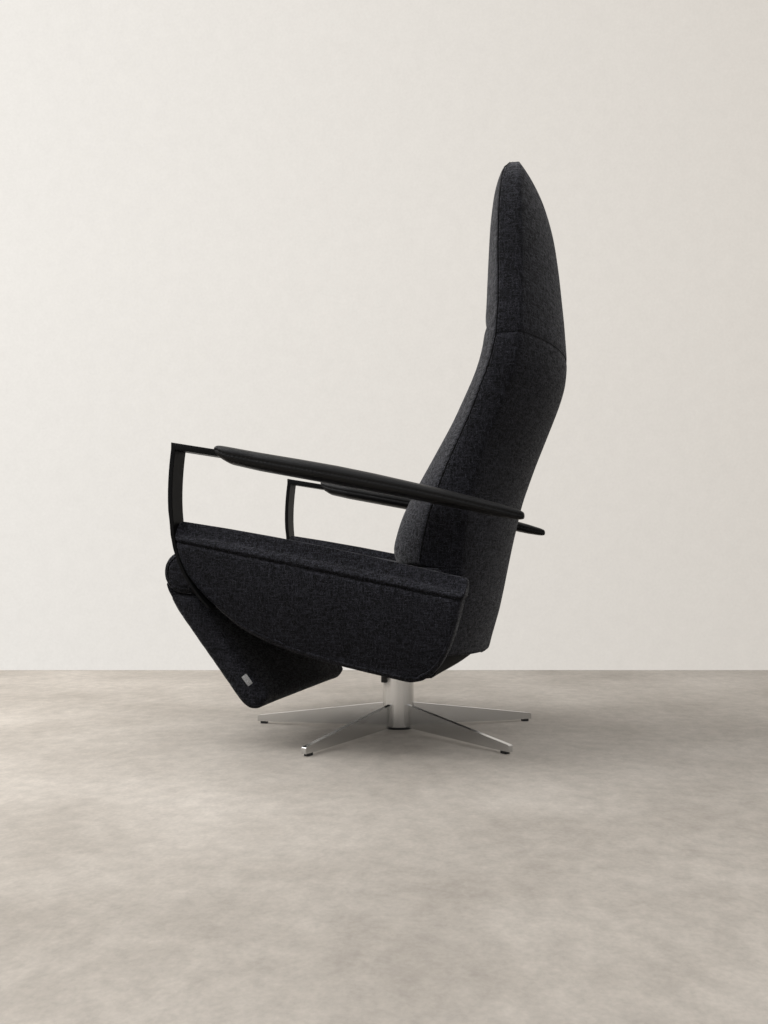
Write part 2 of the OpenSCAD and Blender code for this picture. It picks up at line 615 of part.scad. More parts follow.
// The back's sections at a height: the front curve, the rear curve and the plane between them
back_steps = 8;
function back_w(z) = back_half * eased(back_front, 3, z);
function front_y(z, u) = eased(back_front, 1, z) - eased(back_front, 2, z) * (1 - pow(abs(u), 3));
function rear_y(z, u) = eased(back_rear, 1, z) + eased(back_rear, 2, z) * (1 - u * u);
function split_y(z) = row_value(frame_line, 1, max(z, 160)) - stile_d / 2 - strap_t - 2;
function spread(n) = [for (i = [0:n]) sin(90 * (2 * i / n - 1))];
function front_run(z, w) = [for (u = spread(2 * back_steps)) [u * w, front_y(z, u), z]];
function rear_run(z, w) = [for (u = reversed(spread(2 * back_steps))) [u * w, rear_y(z, u), z]];
function flat_run(z, w) = [for (u = reversed(spread(6))) [u * w, split_y(z), z]];

crease_top = head_z - 1;
seam_z = 573;
knuckle_d = 14;
pad_levels = [155, 157, 162, 172, 188, 208, 230, 250, 275, 310, 345, 380, 420, 460, 500, 535, 572, 609];
module head_cut(side) polygon([[head_y - 90, crease_top], [head_y, crease_top],
    [head_y + 14, crease_top - 16], [head_y + 26, seam_z - 1], [head_y + 120, seam_z - 1],
    [head_y + 120, side], [head_y - 90, side]]);
module back_pad() color("#2a2a2c") on_deck() difference() {
    loft([for (z = pad_levels) concat(front_run(z, back_w(z)), flat_run(z, back_w(z)))]);
    along_x(-back_half - 1, back_half + 1) head_cut(700);
    bar_x(knuckle_d + 6, -75, 75, [head_y, head_z]);
    along_x(-62, 62)
        polygon([[head_y - 9, head_z], [head_y + 60, head_z], [head_y + 60, 500], [head_y + 24, 518]]);
}

// Rear cover: a hollow shell, open to the pad in front and below
cover_levels = [-13, 20, 60, 110, 165, 208, 250, 295, 345, 380, 420, 460, 500, 535, 572];
function cover_w(z) = z < 250 ? back_half : back_w(z);
function cover_front(z) = z < 160 ? 136 - 0.06 * (z - 160) : split_y(z) + seat_gap;
function cover_ring(z, w, wall, back) = concat([[-w, cover_front(z) - back, z]],
    [[w, cover_front(z) - back, z]], [for (q = rear_run(z, w)) q - [0, wall, 0]]);
module back_rear_cover() color("#242426") on_deck() difference() {
    loft([for (z = cover_levels) cover_ring(z, cover_w(z), 0, 0)]);
    loft([for (z = concat([-14], cover_levels, [600]))
        cover_ring(z, cover_w(z) - cover_wall, cover_wall, 30)]);
}

// Headrest: hinged on two brackets from the back's upper bar
head_up = 155;
module headrest_bracket() color("dimgray") on_deck() difference() {
    pair() along_x(48, 53) hull() {
        translate([head_y, head_z]) circle(d = knuckle_d, $fn = 32);
        translate([frame_line[3][1], frame_line[3][0]]) circle(d = 24, $fn = 32);
    }
    bar_x(16.1, -60, 60, [frame_line[3][1], frame_line[3][0]]);
    bar_x(head_pin_d + 2 * run_gap, -60, 60, [head_y, head_z]);
}
module headrest_pin() color("gray") on_deck() bar_x(head_pin_d, -56, 56, [head_y, head_z]);
module headrest_plate() color("dimgray") on_deck() difference() {
    union() {
        bar_x(knuckle_d, -46, 46, [head_y, head_z]);
        translate([-46, head_y + 3, head_z - 2]) cube([92, 4, 18]);
        translate([-head_plate_w / 2, head_y + 3, head_z + 12]) cube([head_plate_w, 4, head_up]);
    }
    bar_x(head_pin_d + 0.1, -50, 50, [head_y, head_z]);
}
head_levels = [573, 590, 612, 640, 675, 710, 745, 780, 812, 842, 868, 890, 908, 922, 932, 938];
module headrest_cushion() color("#2a2a2c") on_deck() difference() {
    loft([for (z = head_levels) concat(front_run(z, back_w(z)), rear_run(z, back_w(z)))]);
    along_x(-back_half - 1, back_half + 1) polygon([[head_y - 90, head_z + 90 * tan(head_tilt)],
        [head_y, head_z], [head_y + 14, crease_top - 15], [head_y + 26, seam_z],
        [head_y + 26, 500], [head_y - 90, 500]]);
    bar_x(knuckle_d + 6, -75, 75, [head_y, head_z]);
    along_x(-62, 62) polygon([[head_y - 12, head_z + 6], [head_y + 10, head_z + 13], [head_y + 50, head_z],
        [head_y + 62, 560], [head_y, 560]]);
    translate([-head_plate_w / 2 - seat_gap, head_y + 3 - seat_gap, head_z - 12])
        cube([head_plate_w + 2 * seat_gap, 4 + 2 * seat_gap, head_up + 24 + seat_gap]);
}

// Footrest: drawn level behind its hinge axis, then turned down to its stowed angle
foot_back = footrest_t - footrest_drop;
foot_pad_back = foot_back - board_t - seat_gap;
foot_rise = asin(foot_pad_back / (roll_r + 1.8));
foot_side = concat([[2, 11.5], [6, 8.6], [13, 6.6], [22, 4.6], [33, 2.8], [52, 1], [footrest_l * 0.4, 0],
        [footrest_l * 0.6, 0], [footrest_l - 50, 0], [footrest_l - 28, 1], [footrest_l - 12, 5],
        [footrest_l - 3, 13], [footrest_l, 23], [footrest_l - 1, 35]] - [for (i = [0:13]) [0, footrest_drop]],
    [[footrest_l - 6, foot_pad_back], [footrest_l * 0.6, foot_pad_back], [footrest_l * 0.35, foot_pad_back]],
    [for (i = [0:4]) let (a = foot_rise + (-80 - foot_rise) * i / 4) (roll_r + 1.8) * [cos(a), sin(a)]]);
foot_swell = concat([0, 0.1, 0.2, 0.4, 0.6, 0.8], [for (i = [0:3]) 1], [for (i = [1:12]) 0]);
module on_footrest() translate([0, foot_axis[0], foot_axis[1]]) rotate([-footrest_angle, 0, 0]) children();
module footrest_lugs() color("dimgray") on_deck() pair() difference() {
    on_footrest() along_x(lug_x, lug_x + foot_lug_t) hull() {
        circle(r = foot_lug_r, $fn = 32);
        translate([44, foot_pad_back - 10]) square([66, 10]);
    }
    bar_x(foot_pin_d + 2 * run_gap, lug_x - 1, lug_x + 6, foot_axis);
}
// Slots in the footrest's board and pad for its lugs
module lug_slots() pair() translate([lug_x - seat_gap, 0, foot_pad_back - 10 - seat_gap])
    cube([foot_lug_t + 2 * seat_gap, 110 + seat_gap, footrest_t]);
module footrest_board() color("#101010") on_deck() on_footrest() difference() {
    translate([-foot_half + 4, roll_r + 7, foot_back - board_t])
        cube([2 * foot_half - 8, footrest_l - roll_r - 12, board_t]);
    lug_slots();
}
module footrest_pad() color("#2a2a2c") on_deck() on_footrest() difference() {
    loft(swollen(foot_side, foot_swell, foot_half, 10, 5));
    lug_slots();
}

leg_1();
leg_2();
leg_3();
leg_4();
leg_5();
floor_glides();
column_tube();
column_foot();
lower_bush();
upper_bush();
thrust_washer();
swivel_spindle();
spindle_clip();
mechanism_plate();
mechanism_bolts();
cradle_plates();
front_cross_tube();
rear_cross_tube();
seat_rail_left();
seat_rail_right();
seat_webbing();
seat_cushion();
seat_roll();
roll_tube();
side_panel_left();
side_panel_right();
panel_core_left();
panel_core_right();
panel_spacers();
arm_blade_left();
arm_blade_right();
arm_pad_left();
arm_pad_right();
bottom_shell();
recline_brackets();
footrest_brackets();
gas_spring_bracket();
gas_spring_cylinder();
lever_bracket();
back_frame_left();
back_frame_right();
back_torque_tube();
back_cross_bars();
back_webbing();
back_pad();
back_rear_cover();
recline_pins();
headrest_bracket();
headrest_cushion();
headrest_plate();
headrest_pin();
footrest_pad();
footrest_board();
footrest_lugs();
footrest_pins();
gas_spring_rod();
release_lever();
lever_knob();
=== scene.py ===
# %% [markdown]
# # A swivel recliner, dressed around its frame
# The frame holds the steelwork, the hinges and a plain solid for every cushion. This lesson gives each
# piece its finish, and models the upholstery, the leather arm rests and the bare metal over those solids.
# Every piece could be drawn from nothing, but a piece that starts from the frame stays where the frame
# has it, and moves with it.

# %% Load the frame and keep its box
import json
import math

import bmesh
import bpy
import numpy as np
from mathutils import Matrix, Vector
from mathutils.bvhtree import BVHTree


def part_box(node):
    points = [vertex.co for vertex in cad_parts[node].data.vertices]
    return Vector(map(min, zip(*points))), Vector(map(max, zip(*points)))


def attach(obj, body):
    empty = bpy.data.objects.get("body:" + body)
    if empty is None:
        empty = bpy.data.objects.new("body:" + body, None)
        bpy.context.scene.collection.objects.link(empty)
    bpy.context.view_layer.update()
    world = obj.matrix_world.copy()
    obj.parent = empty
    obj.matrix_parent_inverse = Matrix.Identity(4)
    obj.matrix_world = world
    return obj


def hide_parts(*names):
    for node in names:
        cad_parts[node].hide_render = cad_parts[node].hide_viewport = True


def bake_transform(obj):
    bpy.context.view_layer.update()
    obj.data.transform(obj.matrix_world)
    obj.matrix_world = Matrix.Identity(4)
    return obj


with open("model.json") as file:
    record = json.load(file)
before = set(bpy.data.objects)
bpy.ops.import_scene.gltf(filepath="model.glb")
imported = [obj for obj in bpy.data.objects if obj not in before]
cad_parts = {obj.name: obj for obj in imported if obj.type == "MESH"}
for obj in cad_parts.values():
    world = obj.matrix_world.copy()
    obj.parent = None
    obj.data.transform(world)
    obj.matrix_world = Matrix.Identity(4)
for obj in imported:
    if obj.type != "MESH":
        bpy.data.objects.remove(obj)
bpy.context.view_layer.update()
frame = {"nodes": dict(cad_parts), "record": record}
bpy.ops.object.select_all(action="DESELECT")
MM = 0.001
deck_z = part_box("swivel_spindle")[1].z
axis_y = sum(corner.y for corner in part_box("column_tube")) / 2
print("deck height", round(deck_z, 4), "swivel axis at y", round(axis_y, 4))

# %% [markdown]
# ## Helpers
# Sizes below are millimetres measured from the deck, the top of the swivel's flange, and from the swivel
# axis, as on the workshop drawing. They could be typed in metres, but so they can be compared with a tape
# measure. One helper brings such a point into the frame, and one turns a mesh's points back.


# %% Points of the drawing
def on_deck(x, y, z):
    """A drawing point in millimetres as a point of the frame in metres."""
    return Vector((x * MM, axis_y + y * MM, deck_z + z * MM))


def on_drawing(points):
    """The columns x, y and z of many points of the frame, in the drawing's millimetres."""
    return points[:, 0] / MM, (points[:, 1] - axis_y) / MM, (points[:, 2] - deck_z) / MM


def ramp(value, none, full):
    """A share that grows evenly from 0 at none to 1 at full, and stays there."""
    return np.clip((value - none) / (full - none), 0, 1)


print("the drawing's origin is at", [round(part, 4) for part in on_deck(0, 0, 0)])


# %% Selection and modifiers
def make_active(obj):
    bpy.ops.object.select_all(action="DESELECT")
    obj.select_set(True)
    bpy.context.view_layer.objects.active = obj


def apply_modifier(obj, kind, **settings):
    """Adds one modifier with its settings and applies it."""
    modifier = obj.modifiers.new(kind.title(), kind)
    for key, value in settings.items():
        setattr(modifier, key, value)
    make_active(obj)
    bpy.ops.object.modifier_apply(modifier=modifier.name)


# %% New objects and copies
def mesh_object(name, bm):
    """A new object that takes over what was built in this bmesh."""
    mesh = bpy.data.meshes.new(name)
    bm.to_mesh(mesh)
    bm.free()
    obj = bpy.data.objects.new(name, mesh)
    bpy.context.scene.collection.objects.link(obj)
    return obj


def copy_nodes(name, *nodes):
    """A new object that holds copies of these nodes' meshes, with their doubles merged."""
    bm = bmesh.new()
    for node in nodes:
        bm.from_mesh(frame["nodes"][node].data)
    bmesh.ops.remove_doubles(bm, verts=bm.verts, dist=1e-5)
    return mesh_object(name, bm)


# %% Points and normals of a mesh
def read_points(obj):
    points = np.zeros(len(obj.data.vertices) * 3)
    obj.data.vertices.foreach_get("co", points)
    return points.reshape(-1, 3)


def write_points(obj, points):
    obj.data.vertices.foreach_set("co", points.ravel())
    obj.data.update()


def read_normals(obj):
    normals = np.zeros(len(obj.data.vertices) * 3)
    obj.data.vertices.foreach_get("normal", normals)
    return normals.reshape(-1, 3)


# %% A twin on the other side
def mirror_copy(obj, name):
    """The same piece on the chair's other side, with its faces turned outwards again."""
    mesh = obj.data.copy()
    mesh.name = name
    twin = bpy.data.objects.new(name, mesh)
    bpy.context.scene.collection.objects.link(twin)
    points = read_points(twin)
    points[:, 0] *= -1
    write_points(twin, points)
    mesh.flip_normals()
    return twin


# %% [markdown]
# ## Filling and sewing
# A cushion swells because its filling pushes on a cover that can't stretch much. It could be sculpted,
# but a short cloth simulation with pressure gives the same fullness each time, and a cap keeps the cover
# close to its pattern. A seam is the opposite: the thread pulls the cover in along a line, so the
# vertices near the line move in. That is done in code, because a simulation would need much finer cloth.


# %% Swell a cover by cloth simulation
def swell(obj, pressure, cap, pinned=(), frames=14):
    """Blows up a closed cover. Pinned points stay, and no other point moves further than cap."""
    start = read_points(obj)
    cloth = obj.modifiers.new("Cloth", "CLOTH")
    cloth.settings.quality = 4
    cloth.settings.mass = 0.25
    cloth.settings.tension_stiffness = 25
    cloth.settings.compression_stiffness = 25
    cloth.settings.bending_stiffness = 1.5
    cloth.settings.use_pressure = True
    cloth.settings.uniform_pressure_force = pressure
    cloth.settings.effector_weights.gravity = 0
    cloth.collision_settings.use_collision = False
    if pinned:
        group = obj.vertex_groups.new(name="seams")
        group.add(list(pinned), 1.0, "REPLACE")
        cloth.settings.vertex_group_mass = group.name
    scene = bpy.context.scene
    for number in range(1, frames + 1):
        scene.frame_set(number)
    shaped = obj.evaluated_get(bpy.context.evaluated_depsgraph_get())
    moved = read_points(shaped)
    obj.modifiers.clear()
    obj.vertex_groups.clear()
    scene.frame_set(1)
    shift = moved - start
    length = np.linalg.norm(shift, axis=1, keepdims=True)
    shift *= np.minimum(1, cap / np.maximum(length, 1e-9))
    write_points(obj, start + shift)
    print(obj.name, "swelled by up to", round(float(length.max()) * 1000, 1), "mm before its cap")


# %% Sew a line into a cover
def dense_path(path, step=0.002):
    """Points along a polyline, a step apart, with their distance along it."""
    path = np.array([list(point) for point in path])
    lengths = np.linalg.norm(np.diff(path, axis=0), axis=1)
    along = np.concatenate([[0], np.cumsum(lengths)])
    marks = np.arange(0, along[-1], step)
    points = np.stack([np.interp(marks, along, path[:, k]) for k in range(3)], axis=1)
    return points, marks


def lay_on(obj, points, lift=0.0):
    """The nearest places on a piece's surface, raised along its normals, and those normals."""
    tree = BVHTree.FromObject(obj, bpy.context.evaluated_depsgraph_get())
    found = [tree.find_nearest(Vector(point)) for point in points]
    return [spot + normal * lift for spot, normal, _, _ in found], [normal for _, normal, _, _ in found]


def sew(obj, path, depth=0.0018, width=0.0035, pucker=0.011, ripple=0.3, fade=0.001):
    """Pulls the cover in along a path, a little deeper at each stitch, and less towards its two ends."""
    points, marks = dense_path(path)
    points = np.array([list(spot) for spot in lay_on(obj, points)[0]])
    co = read_points(obj)
    normals = read_normals(obj)
    low, high = points.min(0) - 4 * width, points.max(0) + 4 * width
    near = np.where(np.all((co > low) & (co < high), axis=1))[0]
    for chunk in np.array_split(near, max(1, len(near) // 4000)):
        gap = np.linalg.norm(co[chunk][:, None, :] - points[None, :, :], axis=2)
        best = gap.argmin(axis=1)
        distance = gap[np.arange(len(chunk)), best]
        stitch = 1 + ripple * np.cos(2 * np.pi * marks[best] / pucker)
        ends = np.clip(np.minimum(marks[best], marks[-1] - marks[best]) / fade, 0, 1)
        pull = depth * stitch * ends * np.exp(-((distance / width) ** 2))
        co[chunk] -= normals[chunk] * pull[:, None]
    write_points(obj, co)


# %% [markdown]
# A welt is a thin cord sewn into a seam, and a stitch is a short bead of thread. Both could be a texture,
# but real shapes catch the light, so the welt is a curve with a round section, made a mesh, and each
# stitch is a slim ball with few faces.


# %% Lay a welt on a cover
def welt(name, obj, path, radius, lift=0.2, step=0.004, closed=False):
    """A round cord of cloth along a path on a cover, from a curve that is made a mesh."""
    spots, _ = lay_on(obj, dense_path(path, step)[0], lift * radius)
    curve = bpy.data.curves.new(name, "CURVE")
    curve.dimensions = "3D"
    curve.bevel_depth = radius
    curve.bevel_resolution = 2
    curve.use_fill_caps = True
    spline = curve.splines.new("POLY")
    spline.use_cyclic_u = closed
    spline.points.add(len(spots) - 1)
    for point, spot in zip(spline.points, spots):
        point.co = (*spot, 1)
    piece = bpy.data.objects.new(name, curve)
    bpy.context.scene.collection.objects.link(piece)
    make_active(piece)
    bpy.ops.object.convert(target="MESH")
    bpy.ops.object.shade_smooth()
    return piece


# %% Lay rows of stitches on a cover
def stitch_row(name, obj, paths, pitch=0.0065, length=0.0046, radius=0.0006):
    """Rows of thread, each stitch a slim bead that lies along its path on the cover."""
    bm = bmesh.new()
    for path in paths:
        spots, normals = lay_on(obj, dense_path(path, pitch)[0], 0.5 * radius)
        for spot, after, normal in zip(spots, spots[1:], normals):
            along = (after - spot).normalized()
            across = normal.cross(along).normalized()
            turn = Matrix((along, across, along.cross(across))).transposed().to_4x4()
            size = Matrix.Diagonal((length / 2, radius, radius, 1))
            laid = Matrix.Translation((spot + after) / 2) @ turn @ size
            bmesh.ops.create_uvsphere(bm, u_segments=6, v_segments=4, radius=1, matrix=laid)
    piece = mesh_object(name, bm)
    make_active(piece)
    bpy.ops.object.shade_smooth()
    return piece


# %% [markdown]
# ## Materials
# Every finish is built from nodes, in Object coordinates, so the pattern has a real size. A picture of
# the finish would need a flattened pattern for every cover, and these need none. One function turns a hex
# colour to linear light, and one adds a node with its settings and links.


# %% Colour and node helpers
def colour(code):
    """An sRGB hex colour as linear RGBA."""
    parts = [int(code[k : k + 2], 16) / 255 for k in (1, 3, 5)]
    return [*(c / 12.92 if c <= 0.04045 else ((c + 0.055) / 1.055) ** 2.4 for c in parts), 1]


def add_node(tree, kind, settings=None, inputs=None):
    """Adds a node, sets its properties, and fills or links its inputs."""
    node = tree.nodes.new("ShaderNode" + kind)
    for key, value in (settings or {}).items():
        setattr(node, key, value)
    for key, value in (inputs or {}).items():
        if isinstance(value, bpy.types.NodeSocket):
            tree.links.new(value, node.inputs[key])
        else:
            node.inputs[key].default_value = value
    return node


def new_material(name):
    """An empty material, its node tree, and its surface shader linked to the output."""
    material = bpy.data.materials.new(name)
    material.use_nodes = True
    tree = material.node_tree
    tree.nodes.clear()
    shader = add_node(tree, "BsdfPrincipled")
    add_node(tree, "OutputMaterial", inputs={"Surface": shader.outputs["BSDF"]})
    place = add_node(tree, "TexCoord").outputs["Object"]
    return material, tree, shader, place


# %% [markdown]
# ### Charcoal melange cloth
# The covers are a thick wool cloth, woven from yarn that mixes black, charcoal and grey fibres. Close to,
# it is a plain weave of slubby yarn with small knots, and the nap gives it a dull bloom against the light.
# Two noises, one drawn out upright and one level, stand for the crossing yarns, because straight waves
# would turn to ribs where a surface leans. The yarns are 2.8 mm apart here, a little coarser than life,
# because finer ones wouldn't show. The lining, webbing, thread and ribbon are weaves of the same kind.


# %% Charcoal melange cloth
# Yarns wander by 2 mm over 15 mm, and the cloth's tone drifts over a hand's breadth
WANDER = 0.002
WANDER_SPAN = 0.015
TONE_SPAN = 0.09


def melange_cloth(name, dark, light, fibre, yarn, sheen, relief):
    """Cloth of mixed fibres. The distance between yarns and the height of the relief are in metres."""
    material, tree, shader, place = new_material(name)
    drift = add_node(tree, "TexNoise", inputs={"Vector": place, "Scale": 1 / WANDER_SPAN, "Detail": 2.0})
    bent = add_node(
        tree, "VectorMath", {"operation": "MULTIPLY_ADD"},
        {0: drift.outputs["Color"], 1: (WANDER, WANDER, WANDER), 2: place},
    ).outputs["Vector"]
    yarns = []
    for stretch in ((1.0, 1.0, 0.2), (0.2, 0.2, 1.0)):
        run = add_node(tree, "Mapping", inputs={"Vector": bent, "Scale": stretch}).outputs[0]
        yarns.append(
            add_node(
                tree, "TexNoise", inputs={"Vector": run, "Scale": 1 / yarn, "Detail": 2.0, "Roughness": 0.6}
            ).outputs["Fac"]
        )
    weave = add_node(tree, "Math", {"operation": "MAXIMUM"}, {0: yarns[0], 1: yarns[1]}).outputs[0]
    knots = add_node(
        tree, "TexVoronoi", {"feature": "SMOOTH_F1"}, {"Vector": bent, "Scale": 1 / yarn, "Smoothness": 0.6}
    ).outputs["Distance"]
    fuzz = add_node(
        tree, "TexNoise", inputs={"Vector": bent, "Scale": 2 / yarn, "Detail": 2.0, "Roughness": 0.7}
    ).outputs["Fac"]
    tone = add_node(
        tree, "TexNoise", inputs={"Vector": place, "Scale": 1 / TONE_SPAN, "Detail": 3.0}
    ).outputs["Fac"]
    share = add_node(tree, "MapRange", inputs={"Value": weave, "From Min": 0.46, "From Max": 0.66}).outputs[0]
    mixed = add_node(
        tree, "Mix", {"data_type": "RGBA"}, {0: share, 6: colour(dark), 7: colour(light)}
    ).outputs[2]
    pale = add_node(
        tree, "MapRange", inputs={"Value": fuzz, "From Min": 0.56, "From Max": 0.68, "To Max": 0.75}
    ).outputs[0]
    flecked = add_node(tree, "Mix", {"data_type": "RGBA"}, {0: pale, 6: mixed, 7: colour(fibre)}).outputs[2]
    shade = add_node(
        tree, "MapRange",
        inputs={"Value": tone, "From Min": 0.3, "From Max": 0.7, "To Min": 0.84, "To Max": 1.14},
    ).outputs[0]
    # Painted shade: the cloth is darker between the yarns' knots, where its relief is low
    painted_valley_shade = add_node(
        tree, "MapRange",
        inputs={"Value": knots, "From Min": 0.1, "From Max": 0.7, "To Min": 1.25, "To Max": 0.55},
    ).outputs[0]
    level = add_node(tree, "Math", {"operation": "MULTIPLY"}, {0: shade, 1: painted_valley_shade}).outputs[0]
    final = add_node(tree, "VectorMath", {"operation": "SCALE"}, {0: flecked, "Scale": level}).outputs[0]
    tree.links.new(final, shader.inputs["Base Color"])
    nap = add_node(
        tree, "MapRange", inputs={"Value": weave, "From Min": 0.42, "From Max": 0.66, "To Max": sheen}
    ).outputs[0]
    tree.links.new(nap, shader.inputs["Sheen Weight"])
    height = add_node(tree, "Math", {"operation": "MULTIPLY_ADD"}, {0: knots, 1: -1.4, 2: weave}).outputs[0]
    bump = add_node(tree, "Bump", inputs={"Strength": 0.6, "Distance": relief, "Height": height}).outputs[0]
    tree.links.new(bump, shader.inputs["Normal"])
    shader.inputs["Roughness"].default_value = 0.92
    shader.inputs["Specular IOR Level"].default_value = 0.22
    shader.inputs["Sheen Roughness"].default_value = 0.4
    return material


cloth_finish = melange_cloth("wool_melange_woven", "#0c0c0e", "#3a3a41", "#6a6a73", 0.0028, 0.3, 0.0007)
lining_finish = melange_cloth("black_lining_woven", "#050505", "#0a0a0b", "#101011", 0.0012, 0.02, 0.0002)
webbing_finish = melange_cloth("elastic_webbing_woven", "#2c2a28", "#5b5855", "#76726e", 0.003, 0.1, 0.0007)
thread_finish = melange_cloth(
    "polyester_thread_twisted", "#050506", "#0c0c0d", "#161618", 0.0008, 0.2, 0.0001
)
ribbon_finish = melange_cloth("satin_ribbon_woven", "#dddbd8", "#f3f2f0", "#fbfaf9", 0.0011, 0.2, 0.0001)
woven = (cloth_finish, lining_finish, webbing_finish, thread_finish, ribbon_finish)
print("woven finishes:", ", ".join(material.name for material in woven))

# %% [markdown]
# ### Black leather
# The arm rests are covered in smooth black leather with a fine natural grain, with a soft sheen that is
# duller where hands rub it. The grain's cells come from a Voronoi pattern's edges, which meet as creases
# in leather do, where a plain noise would look like sand. They are 2.2 mm across, coarser than life, so
# that they show.


# %% Black leather
GRAIN_CELL = 0.0022
GRAIN_PORE = 0.0011
RUBBED_SPAN = 0.07


def grained_leather(name, base, worn):
    material, tree, shader, place = new_material(name)
    cells = add_node(
        tree, "TexVoronoi", {"feature": "DISTANCE_TO_EDGE"}, {"Vector": place, "Scale": 1 / GRAIN_CELL}
    ).outputs["Distance"]
    pores = add_node(
        tree, "TexNoise", inputs={"Vector": place, "Scale": 1 / GRAIN_PORE, "Detail": 2.0}
    ).outputs["Fac"]
    rubbed = add_node(
        tree, "TexNoise", inputs={"Vector": place, "Scale": 1 / RUBBED_SPAN, "Detail": 4.0}
    ).outputs["Fac"]
    grain = add_node(tree, "Math", {"operation": "MULTIPLY_ADD"}, {0: pores, 1: 0.4, 2: cells}).outputs[0]
    final = add_node(
        tree, "Mix", {"data_type": "RGBA"}, {0: rubbed, 6: colour(base), 7: colour(worn)}
    ).outputs[2]
    gloss = add_node(
        tree, "MapRange",
        inputs={"Value": rubbed, "From Min": 0.3, "From Max": 0.7, "To Min": 0.36, "To Max": 0.52},
    ).outputs[0]
    relief = add_node(tree, "Bump", inputs={"Strength": 0.3, "Distance": 0.0004, "Height": grain}).outputs[0]
    tree.links.new(final, shader.inputs["Base Color"])
    tree.links.new(gloss, shader.inputs["Roughness"])
    tree.links.new(relief, shader.inputs["Normal"])
    shader.inputs["IOR"].default_value = 1.5
    shader.inputs["Specular IOR Level"].default_value = 0.14
    return material


leather_finish = grained_leather("black_leather_smooth", "#202020", "#2c2b2b")
print("leather finish:", leather_finish.name)

# %% [markdown]
# ### Metals
# The star base and the column are stainless steel, brushed along each piece. The brush leaves long fine
# scratches that lie one way, so the noise is stretched along that way. The shader's anisotropy could
# stand for them too, but scratches that show keep the steel from looking like a mirror.


# %% Brushed steel
SCRATCH = 0.0009
CLOUD_SPAN = 0.05


def brushed_steel(name, turn=0.0, upright=False, base="#d2d2d1", rough=0.17):
    """Scratches lie along the piece: level and turned about Z, or upright."""
    material, tree, shader, place = new_material(name)
    straight = add_node(
        tree, "Mapping", {"vector_type": "TEXTURE"}, {"Vector": place, "Rotation": (0, 0, turn)}
    ).outputs[0]
    thin = (1.0, 1.0, 0.01) if upright else (0.01, 1.0, 1.0)
    drawn = add_node(tree, "Mapping", inputs={"Vector": straight, "Scale": thin}).outputs[0]
    scratch = add_node(
        tree, "TexNoise", inputs={"Vector": drawn, "Scale": 1 / SCRATCH, "Detail": 4.0, "Roughness": 0.7}
    ).outputs["Fac"]
    cloud = add_node(
        tree, "TexNoise", inputs={"Vector": place, "Scale": 1 / CLOUD_SPAN, "Detail": 2.0}
    ).outputs["Fac"]
    both = add_node(tree, "Math", {"operation": "MULTIPLY_ADD"}, {0: cloud, 1: 0.5, 2: scratch}).outputs[0]
    low, high = rough - 0.05, rough + 0.08
    gloss = add_node(
        tree, "MapRange",
        inputs={"Value": both, "From Min": 0.5, "From Max": 1.0, "To Min": low, "To Max": high},
    ).outputs[0]
    relief = add_node(
        tree, "Bump", inputs={"Strength": 0.12, "Distance": 0.0002, "Height": scratch}
    ).outputs[0]
    tree.links.new(gloss, shader.inputs["Roughness"])
    tree.links.new(relief, shader.inputs["Normal"])
    shader.inputs["Base Color"].default_value = colour(base)
    shader.inputs["Metallic"].default_value = 1.0
    return material


# %% [markdown]
# ### Coatings and plastics
# Lacquer, enamel and powder coat dry with a fine orange peel, and moulded plastic takes a soft one from
# its mould. One function makes them all, because they differ only in colour, gloss and how coarse that
# skin is. Faint rubbed places keep a large part from looking like a flat colour.


# %% Coatings and plastics
WORN_SPAN = 0.04


def coated(name, base, pale, rough, peel, metal=0.0, shine=0.5):
    """A painted, moulded or enamelled skin with a fine orange peel and faint rubbed places."""
    material, tree, shader, place = new_material(name)
    skin = add_node(
        tree, "TexNoise", inputs={"Vector": place, "Scale": 1 / peel, "Detail": 2.0}
    ).outputs["Fac"]
    rubbed = add_node(
        tree, "TexNoise", inputs={"Vector": place, "Scale": 1 / WORN_SPAN, "Detail": 5.0}
    ).outputs["Fac"]
    share = add_node(tree, "MapRange", inputs={"Value": rubbed, "From Min": 0.45, "From Max": 0.8}).outputs[0]
    final = add_node(
        tree, "Mix", {"data_type": "RGBA"}, {0: share, 6: colour(base), 7: colour(pale)}
    ).outputs[2]
    gloss = add_node(
        tree, "MapRange", inputs={"Value": rubbed, "To Min": rough - 0.05, "To Max": rough + 0.08}
    ).outputs[0]
    relief = add_node(tree, "Bump", inputs={"Strength": 0.15, "Distance": 0.0002, "Height": skin}).outputs[0]
    tree.links.new(final, shader.inputs["Base Color"])
    tree.links.new(gloss, shader.inputs["Roughness"])
    tree.links.new(relief, shader.inputs["Normal"])
    shader.inputs["Metallic"].default_value = metal
    shader.inputs["Specular IOR Level"].default_value = shine
    return material


# %% [markdown]
# ### Plywood
# The side panels have a core of sanded beech plywood. Its grain runs along the panel, so the noise is
# stretched along that way. It hardly shows, so two browns and no bump are enough.


# %% Plywood
def plywood(name):
    material, tree, shader, place = new_material(name)
    long = add_node(tree, "Mapping", inputs={"Vector": place, "Scale": (1.0, 0.06, 1.0)}).outputs[0]
    grain = add_node(
        tree, "TexNoise", inputs={"Vector": long, "Scale": 1 / 0.003, "Detail": 5.0}
    ).outputs["Fac"]
    final = add_node(
        tree, "Mix", {"data_type": "RGBA"}, {0: grain, 6: colour("#9a7748"), 7: colour("#cfae7c")}
    ).outputs[2]
    tree.links.new(final, shader.inputs["Base Color"])
    shader.inputs["Roughness"].default_value = 0.6
    return material


# %% [markdown]
# ### A finish for every slot
# The record names a slot for each node of the frame. A table gives each slot its finish, so that a node
# and the new piece that stands for it look the same.

